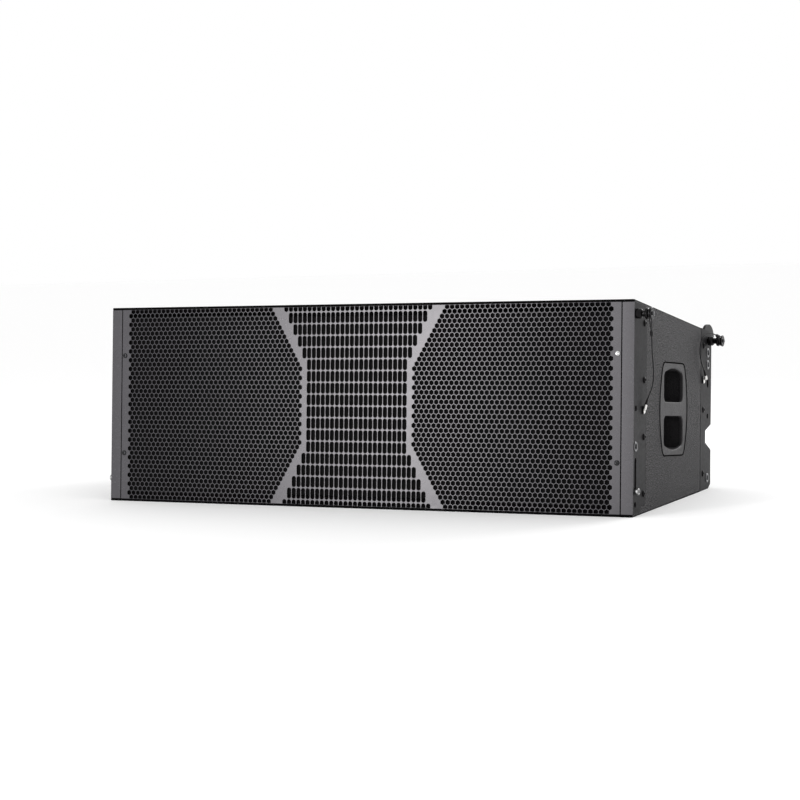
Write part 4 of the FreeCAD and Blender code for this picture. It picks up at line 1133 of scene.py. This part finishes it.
def make_screws():
    """Pan-head screws with cross recesses; the upper right one of the grille's is bright steel."""
    bm = bmesh.new()
    bright = bmesh.new()
    recess = [i + len(SCREW_TIP) for i in CROSS]
    for low, high in islands("wood_screws"):
        x, z = (low.x + high.x) / 2, (low.z + high.z) / 2
        length = high.y - low.y - SCREW_TOP
        in_front = low.y < DEPTH / 2
        if in_front:
            place = along_y(1, x, low.y + SCREW_TOP, z)
        else:
            place = along_y(-1, x, high.y - SCREW_TOP, z)
        wide = WIDE_HEAD if abs(x) > WING_END and in_front else 1.0
        form = [(r, h - length) for r, h in SCREW_TIP] + [(r * wide, h) for r, h in SCREW_HEAD]
        upper_right = low.y < NEAR_FACE and x > 0 and z > 0
        lathe(bright if upper_right else bm, form, BOX @ place @ turned_at_random(), 48,
              lambda i, a: crosswise(a) if i in recess else 1.0)
    make("wood_screws_finished", bm, "dark_zinc", stands_for=("wood_screws",))
    make("bright_grille_screw", bright, "bright_steel", stands_for=("wood_screws",))


def make_bushes():
    """Bushes in the rails' holes: what lies below BUSH_TAIL moves to the CAD bush's end."""
    bm = bmesh.new()
    for low, high in islands("rail_bushes"):
        sign = 1 if high.x > 0 else -1
        face = max(abs(low.x), abs(high.x)) - HALF_WIDTH - BUSH_TOP
        depth = high.x - low.x - BUSH_TOP
        form = [(r, -depth if h < BUSH_TAIL else h) for r, h in BUSH]
        place = out_from_side(sign, (low.y + high.y) / 2, (low.z + high.z) / 2, face)
        bored(bm, form, BOX @ place, 64)
    make("rail_bushes_finished", bm, "bush", stands_for=("rail_bushes",))


random.seed(7)
make_bolts()
make_screws()
make_bushes()


# ---------------------------------------------------------------- pins, buttons, knobs

PIN = profile_mm((
    (0, -18.0), (3.4, -18.0), (3.9, -17.6), (4.6, -16.6), (4.75, -16.2), (4.75, 0.9), (8.7, 0.9),
    (9.0, 1.2), (9.0, 8.2), (8.8, 8.7), (7.4, 10.5), (6.1, 11.1), (5.6, 11.7), (5.6, 15.9),
    (5.9, 16.5), (9.0, 17.1), (9.7, 17.6), (10.0, 18.3), (10.0, 20.7), (9.7, 21.4), (9.0, 21.9),
    (6.9, 22.3), (6.5, 22.8), (6.5, 25.8), (6.8, 26.2), (9.9, 26.5), (10.6, 26.8), (10.9, 27.3),
    (10.9, 28.2), (10.7, 28.7), (10.2, 29.0), (9.8, 29.1), (4.0, 29.1), (3.65, 28.9), (3.6, 28.6),
    (3.6, 21.9), (0, 21.9),
))
BUTTON = profile_mm((
    (0, 24.8), (3.3, 24.8), (3.5, 25.0), (3.5, 31.0), (3.35, 31.5), (2.9, 31.9), (2.6, 32.0),
    (2.2, 32.0), (1.2, 31.8), (0, 31.75),
))
KNOB = profile_mm((
    (0, 0), (4.0, 0), (4.0, 8.2), (5.6, 8.2), (6.0, 8.4), (6.2, 8.8), (6.2, 11.2), (6.0, 11.8),
    (5.6, 12.1), (5.0, 12.2), (3.6, 12.2), (3.3, 11.9), (3.2, 10.2), (0, 10.0),
))
KNURLED = range(5, 7)
FLUTES = 22
FLUTE_DEPTH = 0.03


def make_pins():
    """Quick-release pins and their buttons, each on its own body."""
    for side, end in LANYARDS:
        centre = pin_centre(side, end)
        place = BOX @ out_from_side(SIDES[side], centre.y, centre.z)
        for part, form, finish in (("pin", PIN, "pin_body"), ("pin_button", BUTTON, "button")):
            bm = bmesh.new()
            lathe(bm, form, place, 64)
            name = f"{side}_{end}_{part}"
            make(name + "_finished", bm, finish, name, (name,))


def fluted(i, a):
    """Radius factor of the knob's grip, from the profile's index and the angle."""
    return 1 - FLUTE_DEPTH * (0.5 - 0.5 * math.cos(FLUTES * a)) if i in KNURLED else 1.0


def make_knobs():
    """Fluted knobs that ride on the front links and show in the rails' slots."""
    for side, sign in SIDES.items():
        node = f"{side}_link_knob"
        low, high = size_in_box(node)
        middle = (low + high) / 2
        inner = min(abs(low.x), abs(high.x))
        place = BOX @ out_from_side(sign, middle.y, middle.z, inner - HALF_WIDTH)
        bm = bmesh.new()
        lathe(bm, KNOB, place, FLUTES * 6, fluted)
        make(node + "_finished", bm, "knob", f"{side}_front_link", (node,))


make_pins()
make_knobs()


# ---------------------------------------------------------------- carried-over CAD parts

CARRIED = {
    "raw_ply": ("chamber_partitions", "mid_baffles"),
    "black_ply": ("front_baffle",),
    "basket": ("left_woofer_basket", "right_woofer_basket", "mid_driver_frames"),
    "ferrite": ("left_woofer_magnet", "right_woofer_magnet"),
    "paper": ("left_woofer_cone", "right_woofer_cone", "mid_driver_cones"),
    "surround": ("left_woofer_suspension", "right_woofer_suspension"),
    "horn": ("hf_waveguide",),
    "hf_case": ("hf_drivers",),
    "board": ("crossover_board",),
    "plate": ("connector_plate",),
    "socket": ("connector_sockets",),
}


def finish_carried():
    """Give the parts inside the box, which keep their CAD meshes, their finishes."""
    for finish, nodes in CARRIED.items():
        for name in nodes:
            mesh = frame["nodes"][name].data
            mesh.materials.clear()
            mesh.materials.append(FINISH[finish])


finish_carried()
